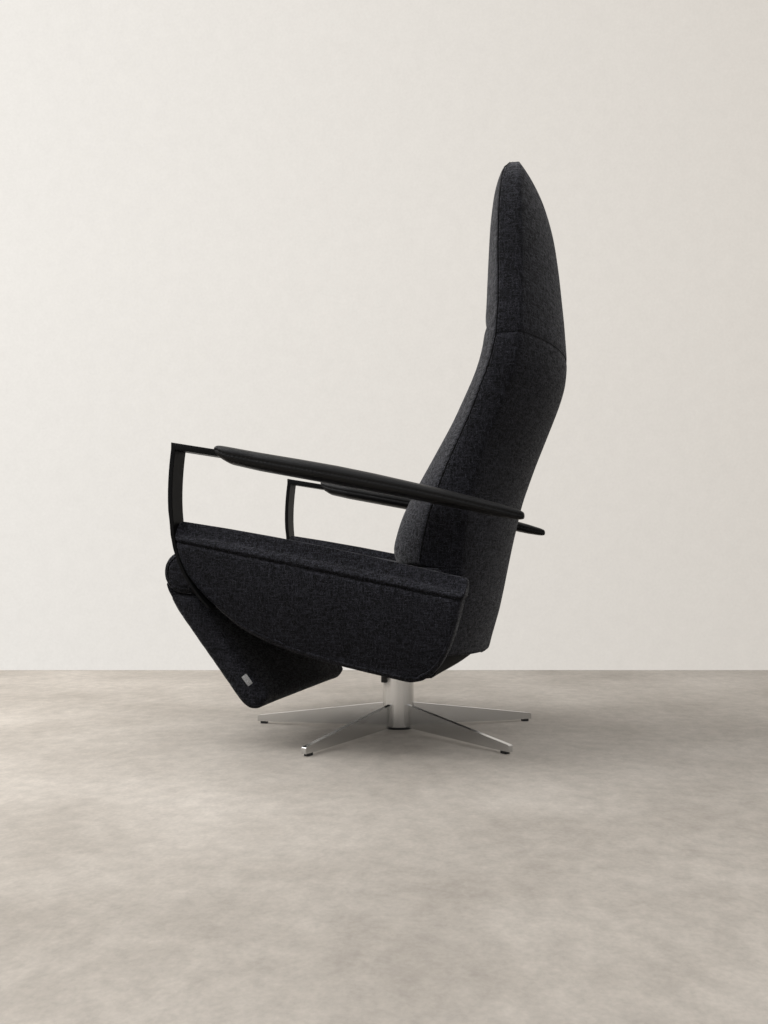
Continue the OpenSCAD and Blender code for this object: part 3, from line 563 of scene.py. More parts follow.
# %% The finish of each slot
slot_finish = {
    "brushed_steel": brushed_steel("stainless_steel_brushed", upright=True),
    "black_plastic": coated("nylon_black_moulded", "#121212", "#1a1a1a", 0.5, 0.0008),
    "bush_plastic": coated("acetal_ivory_moulded", "#c9c2ad", "#d6d0be", 0.4, 0.001),
    "bright_steel": coated("steel_zinc_plated", "#a9aaac", "#bcbdbf", 0.3, 0.0006, metal=1.0),
    "grey_steel": coated("steel_powder_coated_grey", "#3a3a3c", "#474749", 0.5, 0.0009),
    "webbing": webbing_finish,
    "charcoal_fabric": cloth_finish,
    "plywood": plywood("beech_plywood_sanded"),
    "black_blade": coated(
        "steel_satin_lacquered_black", "#0d0d0d", "#141414", 0.42, 0.0007, shine=0.1
    ),
    "black_leather": leather_finish,
    "black_lining": lining_finish,
    "black_enamel": coated("steel_black_enamel", "#0c0c0d", "#161617", 0.25, 0.001),
}
print(len(slot_finish), "slots have a finish")


def finish_piece(obj, material, body=None):
    """Gives a new piece its material and slot, and lets it ride on its body."""
    obj.data.materials.clear()
    obj.data.materials.append(material)
    if body:
        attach(obj, body)


# %% [markdown]
# The steelwork, the swivel and the gas spring have the right shape already, so those nodes stay as they
# are and only get a finish. Assigning it to their material slots leaves their meshes alone.

# %% Give every node of the frame its slot's finish
for subpart in frame["record"]["subparts"]:
    mesh = frame["nodes"][subpart["node"]].data
    mesh.materials.clear()
    mesh.materials.append(slot_finish[subpart["material_slot"]])

# %% [markdown]
# ## Camera, floor and light
# The camera stands beside the chair and a little behind its middle, level, at a third of a metre above
# the floor. It could be tilted to place the chair in the picture, but then upright edges would lean in,
# so its lens is shifted up instead, as on a view camera.

# %% Camera
LENS = 29.62
LENS_SHIFT = 0.0622
# Metres beside the swivel axis, behind it and above the floor, and degrees turned from facing the rear
EYE_SIDE, EYE_BEHIND, EYE_HEIGHT = 1.7499, 0.4106, 0.3284
EYE_TURN = 104.18
camera_data = bpy.data.cameras.new("camera")
camera_data.lens = LENS
camera_data.sensor_width = 36
camera_data.sensor_fit = "AUTO"
camera_data.shift_y = LENS_SHIFT
camera = bpy.data.objects.new("camera", camera_data)
camera.location = (EYE_SIDE, axis_y + EYE_BEHIND, EYE_HEIGHT)
camera.rotation_euler = (math.radians(90), 0, math.radians(EYE_TURN))
bpy.context.scene.collection.objects.link(camera)
bpy.context.scene.camera = camera
print("camera at", [round(part, 3) for part in camera.location])

# %% [markdown]
# ### Floor and wall
# The floor is ground concrete with clouds and pores. Painted light makes it brighter towards the window
# on the left, and a faint glow of its own colour, seen by the camera and in reflections, lightens the
# shadows on it. The wall is rough white plaster, with painted light that makes it brighter on that side
# too and painted shade that darkens it towards the floor. To the camera and in reflections the wall
# glows with this painted colour, and to all other light it is a plain pale wall, so nothing on the chair
# depends on how the wall is lit. A lamp in the window could do this, but it would light the chair as well.


# %% Patterns that the floor and the wall share
look = camera.matrix_basis.to_3x3() @ Vector((0, 0, -1))
side = Vector((look.y, -look.x, 0))
middle = camera.location.dot(side)
print("the room's middle is at", round(middle, 3), "m across")


def across_room(tree, place):
    """The distance in metres across the room, from the window's side to the other."""
    return add_node(tree, "VectorMath", {"operation": "DOT_PRODUCT"}, {0: place, 1: side}).outputs["Value"]


def seen_directly(tree):
    """1 to the camera and to what reflects or refracts, and 0 to the light that falls on things."""
    path = add_node(tree, "LightPath")
    seen = path.outputs["Is Camera Ray"]
    for ray in ("Is Glossy Ray", "Is Transmission Ray"):
        seen = add_node(tree, "Math", {"operation": "MAXIMUM"}, {0: seen, 1: path.outputs[ray]}).outputs[0]
    return seen


def clouds(tree, place, grain, low, high, detail=6.0):
    """A noise of a real size that swings between two numbers."""
    noise = add_node(
        tree, "TexNoise", inputs={"Vector": place, "Scale": 1 / grain, "Detail": detail, "Roughness": 0.65}
    ).outputs["Fac"]
    return add_node(
        tree, "MapRange",
        inputs={"Value": noise, "From Min": 0.3, "From Max": 0.7, "To Min": low, "To Max": high},
    ).outputs[0]


# %% Floor
# The share of its light that the floor throws back on the chair, and the painted glow that softens the shadow
# on it
FLOOR_BOUNCE = 0.2
FLOOR_GLOW = 0.19
WINDOW_REACH = 0.9


def concrete():
    """Ground concrete with painted light towards the window, and a glow that softens its shadows.
    It throws only part of its light on the chair.
    """
    material, tree, shader, place = new_material("concrete_floor_ground")
    broad = clouds(tree, place, 0.45, 0.0, 1.0)
    tone = add_node(
        tree, "Mix", {"data_type": "RGBA"}, {0: broad, 6: colour("#9d958b"), 7: colour("#bfb7ad")}
    ).outputs[2]
    fine = clouds(tree, place, 0.03, 0.86, 1.1)
    pores = clouds(tree, place, 0.006, 0.92, 1.07)
    level = add_node(tree, "Math", {"operation": "MULTIPLY"}, {0: fine, 1: pores}).outputs[0]
    across = across_room(tree, place)
    # Painted light: the floor is brighter towards the window, and darker from the room's middle on
    near = middle - WINDOW_REACH
    window = add_node(
        tree, "MapRange",
        inputs={"Value": across, "From Min": near, "From Max": middle, "To Min": 1.12, "To Max": 0.85},
    ).outputs[0]
    level = add_node(tree, "Math", {"operation": "MULTIPLY"}, {0: level, 1: window}).outputs[0]
    final = add_node(tree, "VectorMath", {"operation": "SCALE"}, {0: tone, "Scale": level}).outputs[0]
    seen = seen_directly(tree)
    bounce = add_node(tree, "MapRange", inputs={"Value": seen, "To Min": FLOOR_BOUNCE}).outputs[0]
    lit = add_node(tree, "VectorMath", {"operation": "SCALE"}, {0: final, "Scale": bounce}).outputs[0]
    # Painted light: to the camera and in reflections the floor glows with a share of its own colour, which
    # softens its shadows
    glow = add_node(tree, "Math", {"operation": "MULTIPLY"}, {0: seen, 1: FLOOR_GLOW}).outputs[0]
    tree.links.new(lit, shader.inputs["Base Color"])
    tree.links.new(final, shader.inputs["Emission Color"])
    tree.links.new(glow, shader.inputs["Emission Strength"])
    shader.inputs["Roughness"].default_value = 0.7
    return material


STAGE_HALF = 7.0
FLOOR_DROP = 0.0005
bpy.ops.mesh.primitive_plane_add(size=2 * STAGE_HALF, location=(0, 0, -FLOOR_DROP))
floor = bpy.context.object
floor.name = "floor"
floor.data.materials.append(concrete())
print("floor is", 2 * STAGE_HALF, "m square")

# %% Wall
WALL_DISTANCE = 2.93
WALL_HEIGHT = 5
# The wall's painted light changes within this distance of its middle, and painted shade darkens it below this
# height
WALL_REACH = 1.35
WALL_SHADE_TOP = 1.4


def plaster():
    """Rough plaster that glows to the camera with painted light and shade, and is a plain pale wall to all
    other light.
    """
    material, tree, shader, place = new_material("plaster_wall_rough")
    across = across_room(tree, place)
    # Painted light: the wall is brighter towards the window's side
    share = add_node(
        tree, "MapRange",
        inputs={"Value": across, "From Min": middle - WALL_REACH, "From Max": middle + WALL_REACH},
    ).outputs[0]
    tone = add_node(
        tree, "Mix", {"data_type": "RGBA"}, {0: share, 6: colour("#f1ede7"), 7: colour("#d9d3cb")}
    ).outputs[2]
    height = add_node(tree, "SeparateXYZ", inputs={0: place}).outputs["Z"]
    # Painted shade: the wall darkens towards the floor
    fall = add_node(
        tree, "MapRange", inputs={"Value": height, "From Max": WALL_SHADE_TOP, "To Min": 0.93}
    ).outputs[0]
    trowel = clouds(tree, place, 0.05, 0.982, 1.014)
    grit = clouds(tree, place, 0.009, 0.978, 1.018, 3.0)
    level = add_node(tree, "Math", {"operation": "MULTIPLY"}, {0: trowel, 1: grit}).outputs[0]
    level = add_node(tree, "Math", {"operation": "MULTIPLY"}, {0: level, 1: fall}).outputs[0]
    shown = add_node(tree, "VectorMath", {"operation": "SCALE"}, {0: tone, "Scale": level}).outputs[0]
    # The wall glows with this colour, painted light and shade included, to the camera and in reflections
    glow = add_node(tree, "Emission", inputs={"Color": shown}).outputs[0]
    mixed = add_node(
        tree, "MixShader", inputs={0: seen_directly(tree), 1: shader.outputs["BSDF"], 2: glow}
    ).outputs[0]
    output = next(node for node in tree.nodes if node.type == "OUTPUT_MATERIAL")
    tree.links.new(mixed, output.inputs["Surface"])
    shader.inputs["Base Color"].default_value = colour("#dcd7cf")
    shader.inputs["Roughness"].default_value = 0.9
    return material


foot_of_wall = Vector((camera.location.x, camera.location.y, 0)) + look * WALL_DISTANCE
wall_mesh = bpy.data.meshes.new("wall")
wall_corners = [
    foot_of_wall + side * (hand * STAGE_HALF) + Vector((0, 0, height))
    for hand, height in ((-1, WALL_HEIGHT), (1, WALL_HEIGHT), (1, 0), (-1, 0))
]
wall_mesh.from_pydata([list(corner) for corner in wall_corners], [], [(0, 1, 2, 3)])
wall = bpy.data.objects.new("wall", wall_mesh)
bpy.context.scene.collection.objects.link(wall)
wall_mesh.materials.append(plaster())
print("wall is", WALL_HEIGHT, "m high, at", WALL_DISTANCE, "m from the camera")

# %% [markdown]
# ### Light
# The light is a soft one from overhead, brightest at the zenith as in a room with a pale ceiling, with one
# large lamp from the window's side and a weak one that opens the shadows towards the camera. The sky could
# be one even colour, but then the cloth would be lit from below as well and lose its shape. The camera
# and reflections see a plain pale grey in its place.

# %% World
# Strength of the sky at the horizon and overhead, and how closely its light is gathered there
SKY_LOW, SKY_HIGH = 0.03, 2.3
SKY_FOCUS = 3.0
BACKGROUND = 0.55
world = bpy.data.worlds.new("studio")
bpy.context.scene.world = world
world.use_nodes = True
sky = world.node_tree
direction = add_node(sky, "TexCoord").outputs["Generated"]
overhead = add_node(sky, "SeparateXYZ", inputs={0: direction}).outputs["Z"]
raised = add_node(sky, "Math", {"operation": "MAXIMUM"}, {0: overhead, 1: 0.0}).outputs[0]
focused = add_node(sky, "Math", {"operation": "POWER"}, {0: raised, 1: SKY_FOCUS}).outputs[0]
strength = add_node(
    sky, "MapRange", inputs={"Value": focused, "To Min": SKY_LOW, "To Max": SKY_HIGH}
).outputs[0]
shown = add_node(
    sky, "Mix", {"data_type": "FLOAT"}, {0: seen_directly(sky), 2: strength, 3: BACKGROUND}
).outputs[0]
sky.nodes["Background"].inputs["Color"].default_value = (0.95, 0.95, 0.96, 1)
sky.links.new(shown, sky.nodes["Background"].inputs["Strength"])
print("sky strength", SKY_LOW, "to", SKY_HIGH)


# %% Lamps
def soft_lamp(name, place, aim, size, power):
    """A round lamp of this width in metres and power in watts, turned towards a point."""
    data = bpy.data.lights.new(name, "AREA")
    data.shape = "DISK"
    data.size = size
    data.energy = power
    lamp = bpy.data.objects.new(name, data)
    lamp.location = place
    lamp.rotation_euler = (Vector(aim) - Vector(place)).to_track_quat("-Z", "Y").to_euler()
    bpy.context.scene.collection.objects.link(lamp)
    print(name, "lamp gives", power, "W")


soft_lamp("key", (0.3, -2.2, 3.2), (0, 0, 0.5), 3.2, 110)
soft_lamp("fill", (2.2, -1.4, 1.5), (0, 0, 0.4), 1.2, 3)
bpy.context.scene.view_settings.view_transform = "Standard"

# %% [markdown]
# ## The back and headrest
# The real back has one cover from the seat to the crown. It is sewn from a front panel, two side bands
# and a rear panel, and it bends across a crease where the headrest tilts. It could be made of separate
# cushions, but only one skin bends at the crease without a gap. Its sections at each height are drawn
# from two curves: the crowned front between two seams, and the rounded rear.

# %% Sections of the back
# Height, seam at the side, crown over the seam, share of the full half width
back_front = np.array(
    [[155, 98, 70, 0.97], [163, 97, 84, 0.99], [180, 98, 93, 1], [205, 103, 95, 1],
     [250, 113, 91, 1], [295, 128, 83, 1], [345, 148, 73, 1], [435, 190, 62, 1],
     [525, 224, 52, 1], [575, 235, 47, 0.99], [650, 238, 42, 0.97], [735, 236, 36, 0.94],
     [815, 237, 33, 0.9], [870, 240, 30, 0.83], [900, 243, 24, 0.74], [920, 247, 16, 0.61],
     [931, 250, 11, 0.51], [938, 254, 6, 0.38]]
)
# Height, edge at the side, bulge over the edge
back_rear = np.array(
    [[-13, 147, 39], [-5, 148, 41], [60, 161, 49], [110, 170, 51], [165, 176, 56], [225, 182, 65],
     [290, 191, 71], [365, 212, 77], [420, 237, 74], [485, 261, 76], [525, 274, 76],
     [570, 281, 73], [650, 283, 65], [755, 282, 55], [817, 279, 49], [870, 276, 38],
     [900, 273, 28], [922, 269, 18], [938, 264, 6]]
)
BACK_HALF = 246
FULL_BELOW = 250
TOP = 938
TOP_ROUND = 9
# The share of the top's rounding that the front and the rear draw in as well
TOP_PULL = 0.6
# The pad's lower edge, and the front and lower edge of the cover that goes on below it
PAD_BOTTOM = 155
COVER_FRONT = 137
COVER_LOW = -13
# An unfilled cover is this much flatter in front and behind than a filled one, over this height
SLACK = 2
SLACK_FADE = 60
# Points across the front and the rear, and along each side band
RUN = 41
BAND = 10
# The last points of the side band stand this far before its rear corner, which is softened four times
CORNER_STEPS = np.array([19, 14, 9, 4.5])
CORNER_ROUNDS = 4
# The cover's rear edge hangs lower by this much, from this height down over this depth
REAR_DROOP = 8
DROOP_TOP = 60
DROOP_DEPTH = 70
print("the back is drawn from", len(back_front), "front and", len(back_rear), "rear sections")


# %% Curves of the back at any height
def eased(rows, column, z, reach=16):
    """A column of the drawing at this height, softened between its rows."""
    return sum(
        share * np.interp(z + shift, rows[:, 0], rows[:, column])
        for share, shift in ((0.25, -reach), (0.5, 0), (0.25, reach))
    )


def top_inset(z):
    """How far the rounded top edge has drawn in at this height."""
    return TOP_ROUND - math.sqrt(max(0, TOP_ROUND**2 - max(0, z - TOP + TOP_ROUND) ** 2))


def half_width(z):
    """Half the back's width at this height."""
    return BACK_HALF * (1.0 if z < FULL_BELOW else eased(back_front, 3, z)) - top_inset(z)


def front_seam(z):
    """Distance to the rear of the seam between the front panel and the side band."""
    return eased(back_front, 1, z) if z >= PAD_BOTTOM else COVER_FRONT


def rear_seam(z):
    """Distance to the rear of the corner between the side band and the rear panel."""
    return eased(back_rear, 1, z)


# %% One ring round the back
def back_ring(z, slack=0):
    """One closed section: front from right to left, side, rear from left to right, side."""
    padded = z >= PAD_BOTTOM
    slack *= min(1, max(0, (z - PAD_BOTTOM) / SLACK_FADE))
    w = half_width(z)
    run = [-1, -0.985, *np.linspace(-0.965, 0.965, RUN - 4), 0.985, 1]
    drawn = TOP_PULL * top_inset(z)
    crown = max(0.5, eased(back_front, 2, z) - slack - drawn) if padded else 0
    seam = front_seam(z)
    rear = rear_seam(z)
    bulge = max(0.5, eased(back_rear, 2, z) - slack - drawn)
    front = [(u * w, seam - crown * (1 - abs(u) ** 3)) for u in run]
    depth = rear - seam
    close = CORNER_STEPS * min(1, depth / 60)
    marks = [*np.linspace(0, depth - close[0], BAND - 4)[1:-1], *(depth - close)]
    near = [(w, seam + mark) for mark in marks]
    behind = [(-u * w, rear + bulge * (1 - u * u)) for u in run]
    far = [(-w, seam + mark) for mark in reversed(marks)]
    ring = np.array(front + near + behind + far)
    for _ in range(CORNER_ROUNDS):
        softer = (np.roll(ring, 1, axis=0) + 2 * ring + np.roll(ring, -1, axis=0)) / 4
        for corner in (RUN + BAND - 2, 2 * RUN + BAND - 3):
            ring[corner - 4 : corner + 5] = softer[corner - 4 : corner + 5]
    droop = REAR_DROOP * min(1, max(0, (DROOP_TOP - z) / DROOP_DEPTH)) ** 2
    lowered = [droop * (1 - (x / w) ** 2) if y > rear else 0 for x, y in ring]
    return [on_deck(x, y, z - low) for (x, y), low in zip(ring, lowered)]


# %% [markdown]
# Rings through these sections are joined into one skin. Bridge Edge Loops would join them as well, but
# here each ring has the same number of points, so quads in code keep rows and columns in a known order,
# and a seam is then just a row or a column.


# %% Join the sections into one skin
def skin_from_rings(name, rings):
    """Quads between rings of equal length, with a fan over each end."""
    bm = bmesh.new()
    loops = [[bm.verts.new(point) for point in ring] for ring in rings]
    count = len(rings[0])
    for low, high in zip(loops, loops[1:]):
        for k in range(count):
            bm.faces.new((low[k], low[(k + 1) % count], high[(k + 1) % count], high[k]))
    for loop, step in ((loops[0], -1), (loops[-1], 1)):
        middle = bm.verts.new(sum((v.co for v in loop), Vector()) / count)
        for k in range(count):
            pair = (loop[k], loop[(k + 1) % count])
            bm.faces.new((*pair[::step], middle))
    bmesh.ops.recalc_face_normals(bm, faces=bm.faces)
    return mesh_object(name, bm)


cover_heights = list(np.linspace(COVER_LOW, PAD_BOTTOM - 1.5, 17))
pad_heights = list(np.linspace(PAD_BOTTOM, TOP - TOP_ROUND, 78)) + [
    TOP - TOP_ROUND + TOP_ROUND * math.sin(math.radians(angle)) for angle in (25, 48, 68, 82, 90)
]
heights = cover_heights + pad_heights
back_cover = skin_from_rings("back_cover", [back_ring(z, SLACK) for z in heights])
print("back cover has", len(back_cover.data.polygons), "faces")

# %% [markdown]
# The filling pushes each panel out between its seams, so the seams are pinned while the cloth swells: the
# two side seams in front and behind, the seam round the back below the headrest, the crease in front, and
# the lower part, which is drawn tight over the frame.

# %% Fill the back
HEAD_SEAM = 573
CREASE = 618
# Rings this near to a seam or the crease are pinned, which is one or two of them
PIN_REACH = 5.2
count = 2 * RUN + 2 * (BAND - 2)
seam_columns = (0, RUN - 1, RUN + BAND - 2, 2 * RUN + BAND - 3)
pins = []
for j, z in enumerate(heights):
    if z < PAD_BOTTOM + 4 or z > TOP - 1:
        pins += [j * count + k for k in range(count)]
    else:
        pins += [j * count + k for k in seam_columns]
        if abs(z - CREASE) < PIN_REACH:
            pins += [j * count + k for k in range(RUN)]
        if abs(z - HEAD_SEAM) < PIN_REACH:
            pins += [j * count + k for k in range(RUN, count)]
pins += [len(heights) * count, len(heights) * count + 1]
if SLACK:
    swell(back_cover, 3.0, 0.006, pins)
apply_modifier(back_cover, "SUBSURF", levels=1, render_levels=1)
print("back cover has", len(pins), "pinned points and", len(back_cover.data.polygons), "faces once filled")

# %% [markdown]
# The seams come after the filling, because they pull it in. The crease is a wide, soft fold without
# stitches. Below the pad the real cover has no front, so those faces go, and nothing blocks the frame.

# %% Sew the back's seams
front_lines = [
    [on_deck(sign * half_width(z), front_seam(z), z) for z in np.linspace(163, 930, 80)] for sign in (1, -1)
]
for line in front_lines:
    sew(back_cover, line, depth=0.0026, width=0.0042, fade=0.045)
head_ring = back_ring(HEAD_SEAM)
head_line = head_ring[RUN - 1 :] + head_ring[:1]
sew(back_cover, head_line, depth=0.0016)
sew(back_cover, back_ring(CREASE)[:RUN], depth=0.005, width=0.013, ripple=0, fade=0.03)
print("sewed", len(front_lines), "front seams, the seam below the head and the crease")

# %% Open the cover below the pad
bm = bmesh.new()
bm.from_mesh(back_cover.data)
open_below = deck_z + (PAD_BOTTOM - 2.5) * MM
unseen = [
    face for face in bm.faces
    if face.calc_center_median().z < open_below and (face.normal.y < -0.8 or face.normal.z < -0.8)
]
print("removed", len(unseen), "faces inside the cover's lower part")
bmesh.ops.delete(bm, geom=unseen, context="FACES")
bm.to_mesh(back_cover.data)
bm.free()

# %% [markdown]
# The front seams are top-stitched: a row of thread lies on the side band, 6 mm behind each seam. In the
# seam itself a dark thread shows between the two cloths, which is a thin welt here.

# %% Stitches and threads on the back
STITCH_INSET = 0.006
beside = [[point + Vector((0, STITCH_INSET, 0)) for point in line] for line in front_lines]
back_stitches = stitch_row("back_stitches", back_cover, beside)
seam_threads = [
    welt("front_seam_left", back_cover, front_lines[0], 0.0011, 0.3),
    welt("front_seam_right", back_cover, front_lines[1], 0.0011, 0.3),
    welt("head_seam", back_cover, head_line, 0.0006, 0.1),
]
print("the stitches have", len(back_stitches.data.polygons), "faces")

# %% Give the cover its thickness
apply_modifier(back_cover, "SOLIDIFY", thickness=0.003, offset=-1)
bpy.ops.object.shade_smooth()
finish_piece(back_cover, cloth_finish)
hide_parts("back_pad", "back_rear_cover", "headrest_cushion")
for piece in (back_stitches, *seam_threads):
    finish_piece(piece, thread_finish)
for piece in (back_cover, back_stitches, *seam_threads):
    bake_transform(piece)

# %% [markdown]
# ## Lining under the back
# Below the back, black lining runs from the shell's rear edge up to the cover's lower edge, so that
# nobody looks into the frame. It is slack enough for the back to recline. It is a small strip, so its sag
# is drawn in code instead of simulated: a line from edge to edge, repeated across the chair, and softened
# by subdivision.

# %% Lining under the back
FLAP_HALF = 262
# The flap narrows by this much towards the cover, bows forward at its sides, and sags in its middle
FLAP_TAPER = 20
FLAP_BOW = 16
FLAP_SAG = 3
# Distance to the rear and height, from the shell's edge to the cover's
flap_line = [(122, -45.5), (130, -41.5), (137, -34), (144, -25), (151, -16), (156, -8), (158, 0)]
flap_start, flap_end = flap_line[0][0], flap_line[-1][0]
bm = bmesh.new()
rows = []
for y, z in flap_line:
    share = (y - flap_start) / (flap_end - flap_start)
    sag = FLAP_SAG * math.sin(math.pi * share)
    half = FLAP_HALF - FLAP_TAPER * share
    rows.append([
        bm.verts.new(on_deck(x, y - FLAP_BOW * share * (x / BACK_HALF) ** 2, z - sag * (1 - (x / half) ** 2)))
        for x in np.linspace(-half, half, 25)
    ])
for low, high in zip(rows, rows[1:]):
    for k in range(len(low) - 1):
        bm.faces.new((low[k], high[k], high[k + 1], low[k + 1]))
flap = mesh_object("hull_lining", bm)
apply_modifier(flap, "SUBSURF", levels=2, render_levels=2)
apply_modifier(flap, "SOLIDIFY", thickness=0.0014, offset=0)
bpy.ops.object.shade_smooth()
finish_piece(flap, lining_finish)
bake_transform(flap)
print("the lining has", len(flap.data.polygons), "faces")

# %% [markdown]
# ## Seat cushion, front roll and footrest
# The seat is a flat foam cushion with a soft crown. The footrest and the rolls are foam over a board or a
# tube. Each starts from the frame's own solid, so that it stays in its place. The solid is remeshed into
# even faces, and its edges are smoothed. A short simulation fills the seat and the footrest, and then
# the seams are sewn.


# %% Pads from the frame's solids
PAD_PRESSURE = 18.0


def pad_from_nodes(name, nodes, voxel, cap=0.0, soften=4):
    """A soft copy of these nodes, filled by a simulation where a cap is given."""
    pad = copy_nodes(name, *nodes)
    apply_modifier(pad, "REMESH", mode="VOXEL", voxel_size=voxel)
    apply_modifier(pad, "SMOOTH", factor=0.5, iterations=soften)
    if cap:
        swell(pad, PAD_PRESSURE, cap)
    apply_modifier(pad, "SUBSURF", levels=1, render_levels=1)
    bpy.ops.object.shade_smooth()
    print(name, "has", len(pad.data.polygons), "faces")
    return pad


# %% Seat cushion
seat_pad = pad_from_nodes("seat_pad", ["seat_cushion"], 0.006, cap=0.004)
# The seam along each side runs this far inside the edge, through these distances and heights
SEAT_EDGE = 9
seat_seam = ([-345, -230, -90, 45], [200, 196, 172, 130])
seam_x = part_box("seat_cushion")[1].x / MM - SEAT_EDGE
for sign in (1, -1):
    edge = [on_deck(sign * seam_x, y, np.interp(y, *seat_seam)) for y in range(-345, 46, 15)]
    sew(seat_pad, edge, depth=0.0022, width=0.005)
finish_piece(seat_pad, cloth_finish, "seat")
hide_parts("seat_cushion")

# %% [markdown]
# The roll along the seat's front is closed at each end by a round panel, with a thin welt between them.
# The roll comes from the frame as the seat does. Its welt could be a bevelled edge, but it is a cord on
# the real one, so it is laid on as one.

# %% Front roll with welted ends
front_roll = pad_from_nodes("front_roll", ["seat_roll"], 0.004)
roll_low, roll_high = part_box("seat_roll")
roll_middle = (roll_low + roll_high) / 2
END_RADIUS = 0.033
roll_welts = []
for sign, hand in ((1, "left"), (-1, "right")):
    ring = [
        Vector((
            sign * (roll_high.x - 0.001),
            roll_middle.y + END_RADIUS * math.cos(math.radians(angle)),
            roll_middle.z + END_RADIUS * math.sin(math.radians(angle)),
        ))
        for angle in range(0, 361, 6)
    ]
    sew(front_roll, ring, depth=0.0025, width=0.004)
    roll_welts.append(welt(f"roll_welt_{hand}", front_roll, ring, 0.0018, closed=True))
finish_piece(front_roll, cloth_finish, "seat")
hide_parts("seat_roll")
for piece in roll_welts:
    finish_piece(piece, cloth_finish, "seat")
print("each end welt has", len(roll_welts[0].data.polygons), "faces")

# %% [markdown]
# The footrest hangs under the roll: one soft pad over a board, covered in the same cloth all round. The
# board doesn't show, so one cover stands for both.

# %% Footrest pad
leg_pad = pad_from_nodes("leg_pad", ["footrest_pad", "footrest_board"], 0.005, cap=0.003, soften=14)
LEG_ANGLE = math.radians(52)
down = Vector((0, math.cos(LEG_ANGLE), -math.sin(LEG_ANGLE)))
inward = Vector((0, math.sin(LEG_ANGLE), math.cos(LEG_ANGLE)))

# %% [markdown]
# The pad's front corner is drawn up as a thin lip that lies round the roll. It turns about the roll's own
# axis, so it stays on the roll while the footrest swings out. The solid's corner is already there, so its
# points are moved in code, and no edge has to be joined.

# %% Lip over the front roll
# The lip's outline: distance down the footrest from the hinge, distance in front of it
lip = np.array([(-7, 41.5), (-3, 43.2), (5, 45.7), (12, 47.7), (21, 49.4), (30, 51.2)])
LIP_REACH = 17
# Points are raised from this far down the footrest, fully from the second number on, and in the same way
# from this far in front of the hinge
LIP_DOWN = (25, 13)
LIP_AHEAD = (35, 43)
# No point comes nearer to the hinge than the roll's radius and its cloth
ROLL_CLEARANCE = 41.2
co = read_points(leg_pad)
from_hinge = (co - np.array(roll_middle)) / MM
along = from_hinge @ np.array(down)
ahead = -from_hinge @ np.array(inward)
raised = ramp(along, *LIP_DOWN) * ramp(ahead, *LIP_AHEAD)
new_along = along - LIP_REACH * raised
new_ahead = np.where(raised > 0, np.minimum(ahead, np.interp(new_along, lip[:, 0], lip[:, 1])), ahead)
radius = np.hypot(new_along, new_ahead)
grow = np.where(raised > 0, np.maximum(1, ROLL_CLEARANCE / np.maximum(radius, 1)), 1)
move_down = (new_along * grow - along)[:, None] * np.array(down)
move_ahead = (new_ahead * grow - ahead)[:, None] * np.array(inward)
write_points(leg_pad, co + MM * (move_down - move_ahead))
print("drew", int((raised > 0).sum()), "points into the lip")
finish_piece(leg_pad, cloth_finish, "footrest")
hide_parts("footrest_pad", "footrest_board")

# %% [markdown]
# A small plain ribbon tag is sewn on the footrest's side, near its lower corner. It is a folded strip, so a
# thin bevelled slab is enough, laid on the cover and turned along the footrest.

# %% Ribbon tag
TAG_DOWN, TAG_AHEAD = 0.245, 0.02
TAG_SIZE = (0.022, 0.011, 0.0012)
pad_side = Vector((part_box("footrest_pad")[1].x, roll_middle.y, roll_middle.z))
tag_aim = pad_side + down * TAG_DOWN - inward * TAG_AHEAD
tag_spot, tag_normal = lay_on(leg_pad, [tag_aim], 0.0008)
bpy.ops.object.select_all(action="DESELECT")
bpy.ops.mesh.primitive_cube_add(size=1)
tag = bpy.context.object
tag.name = "ribbon_tag"
tag.scale = TAG_SIZE
bpy.ops.object.transform_apply(location=False, rotation=False, scale=True)
apply_modifier(tag, "BEVEL", width=0.0005, segments=2, limit_method="NONE")
across = tag_normal[0].cross(down).normalized()
turned = Matrix((down, across, down.cross(across))).transposed().to_4x4()
tag.matrix_world = Matrix.Translation(tag_spot[0]) @ turned
bpy.ops.object.transform_apply()
bpy.ops.object.shade_smooth_by_angle(angle=math.radians(40))
finish_piece(tag, ribbon_finish, "footrest")
print("tag at", [round(part, 3) for part in tag_spot[0]])

# %% [markdown]
# ## Side panels
# Each side panel is plywood under foam and cloth. A fuller roll lies over its top edge above a seam, and a
# welt follows its rear and lower edge round to the blade. The outline is four smooth curves, as an
# upholsterer would draw it on the plywood, and each is one cubic Bezier curve with two handles.


# %% Outline of the side panels
def bezier(points, steps):
    """Points on a cubic curve through the drawing's (y, z) plane."""
    p = np.array(points, dtype=float)
    t = np.linspace(0, 1, steps)[:, None]
    return (1 - t) ** 3 * p[0] + 3 * t * (1 - t) ** 2 * p[1] + 3 * t * t * (1 - t) * p[2] + t**3 * p[3]


# The outline of the panel's upper, lower, rear and front edge, as on the drawing
panel_top = bezier([(-354, 242), (-170, 214), (10, 177), (193, 133)], 30)
panel_belly = bezier([(-243, 48), (-173, -7), (6, -34), (88, -52)], 30)
panel_tail = bezier([(88, -52), (152, -54), (178, 40), (193, 133)], 40)
panel_front = bezier([(-354, 242), (-353, 170), (-325, 111), (-243, 48)], 40)
PANEL_SEAM = ((-370, 206), (200, 93))


def seam_height(y):
    """Height of the panel's straight seam at these distances to the rear."""
    (y0, z0), (y1, z1) = PANEL_SEAM
    return z0 + (z1 - z0) * (y - y0) / (y1 - y0)


print("the panel's seam falls from", PANEL_SEAM[0][1], "to", PANEL_SEAM[1][1], "mm")

# %% [markdown]
# The roll stands a little proud of the panel above the seam, goes further over the rear edge, is rounded
# across and leans in at its crest. It could be a piece of its own, but it is one cover with the panel on
# the real chair, so the panel's own points are moved.

# %% Roll along the panel's top
ROLL_STAND = 1.6
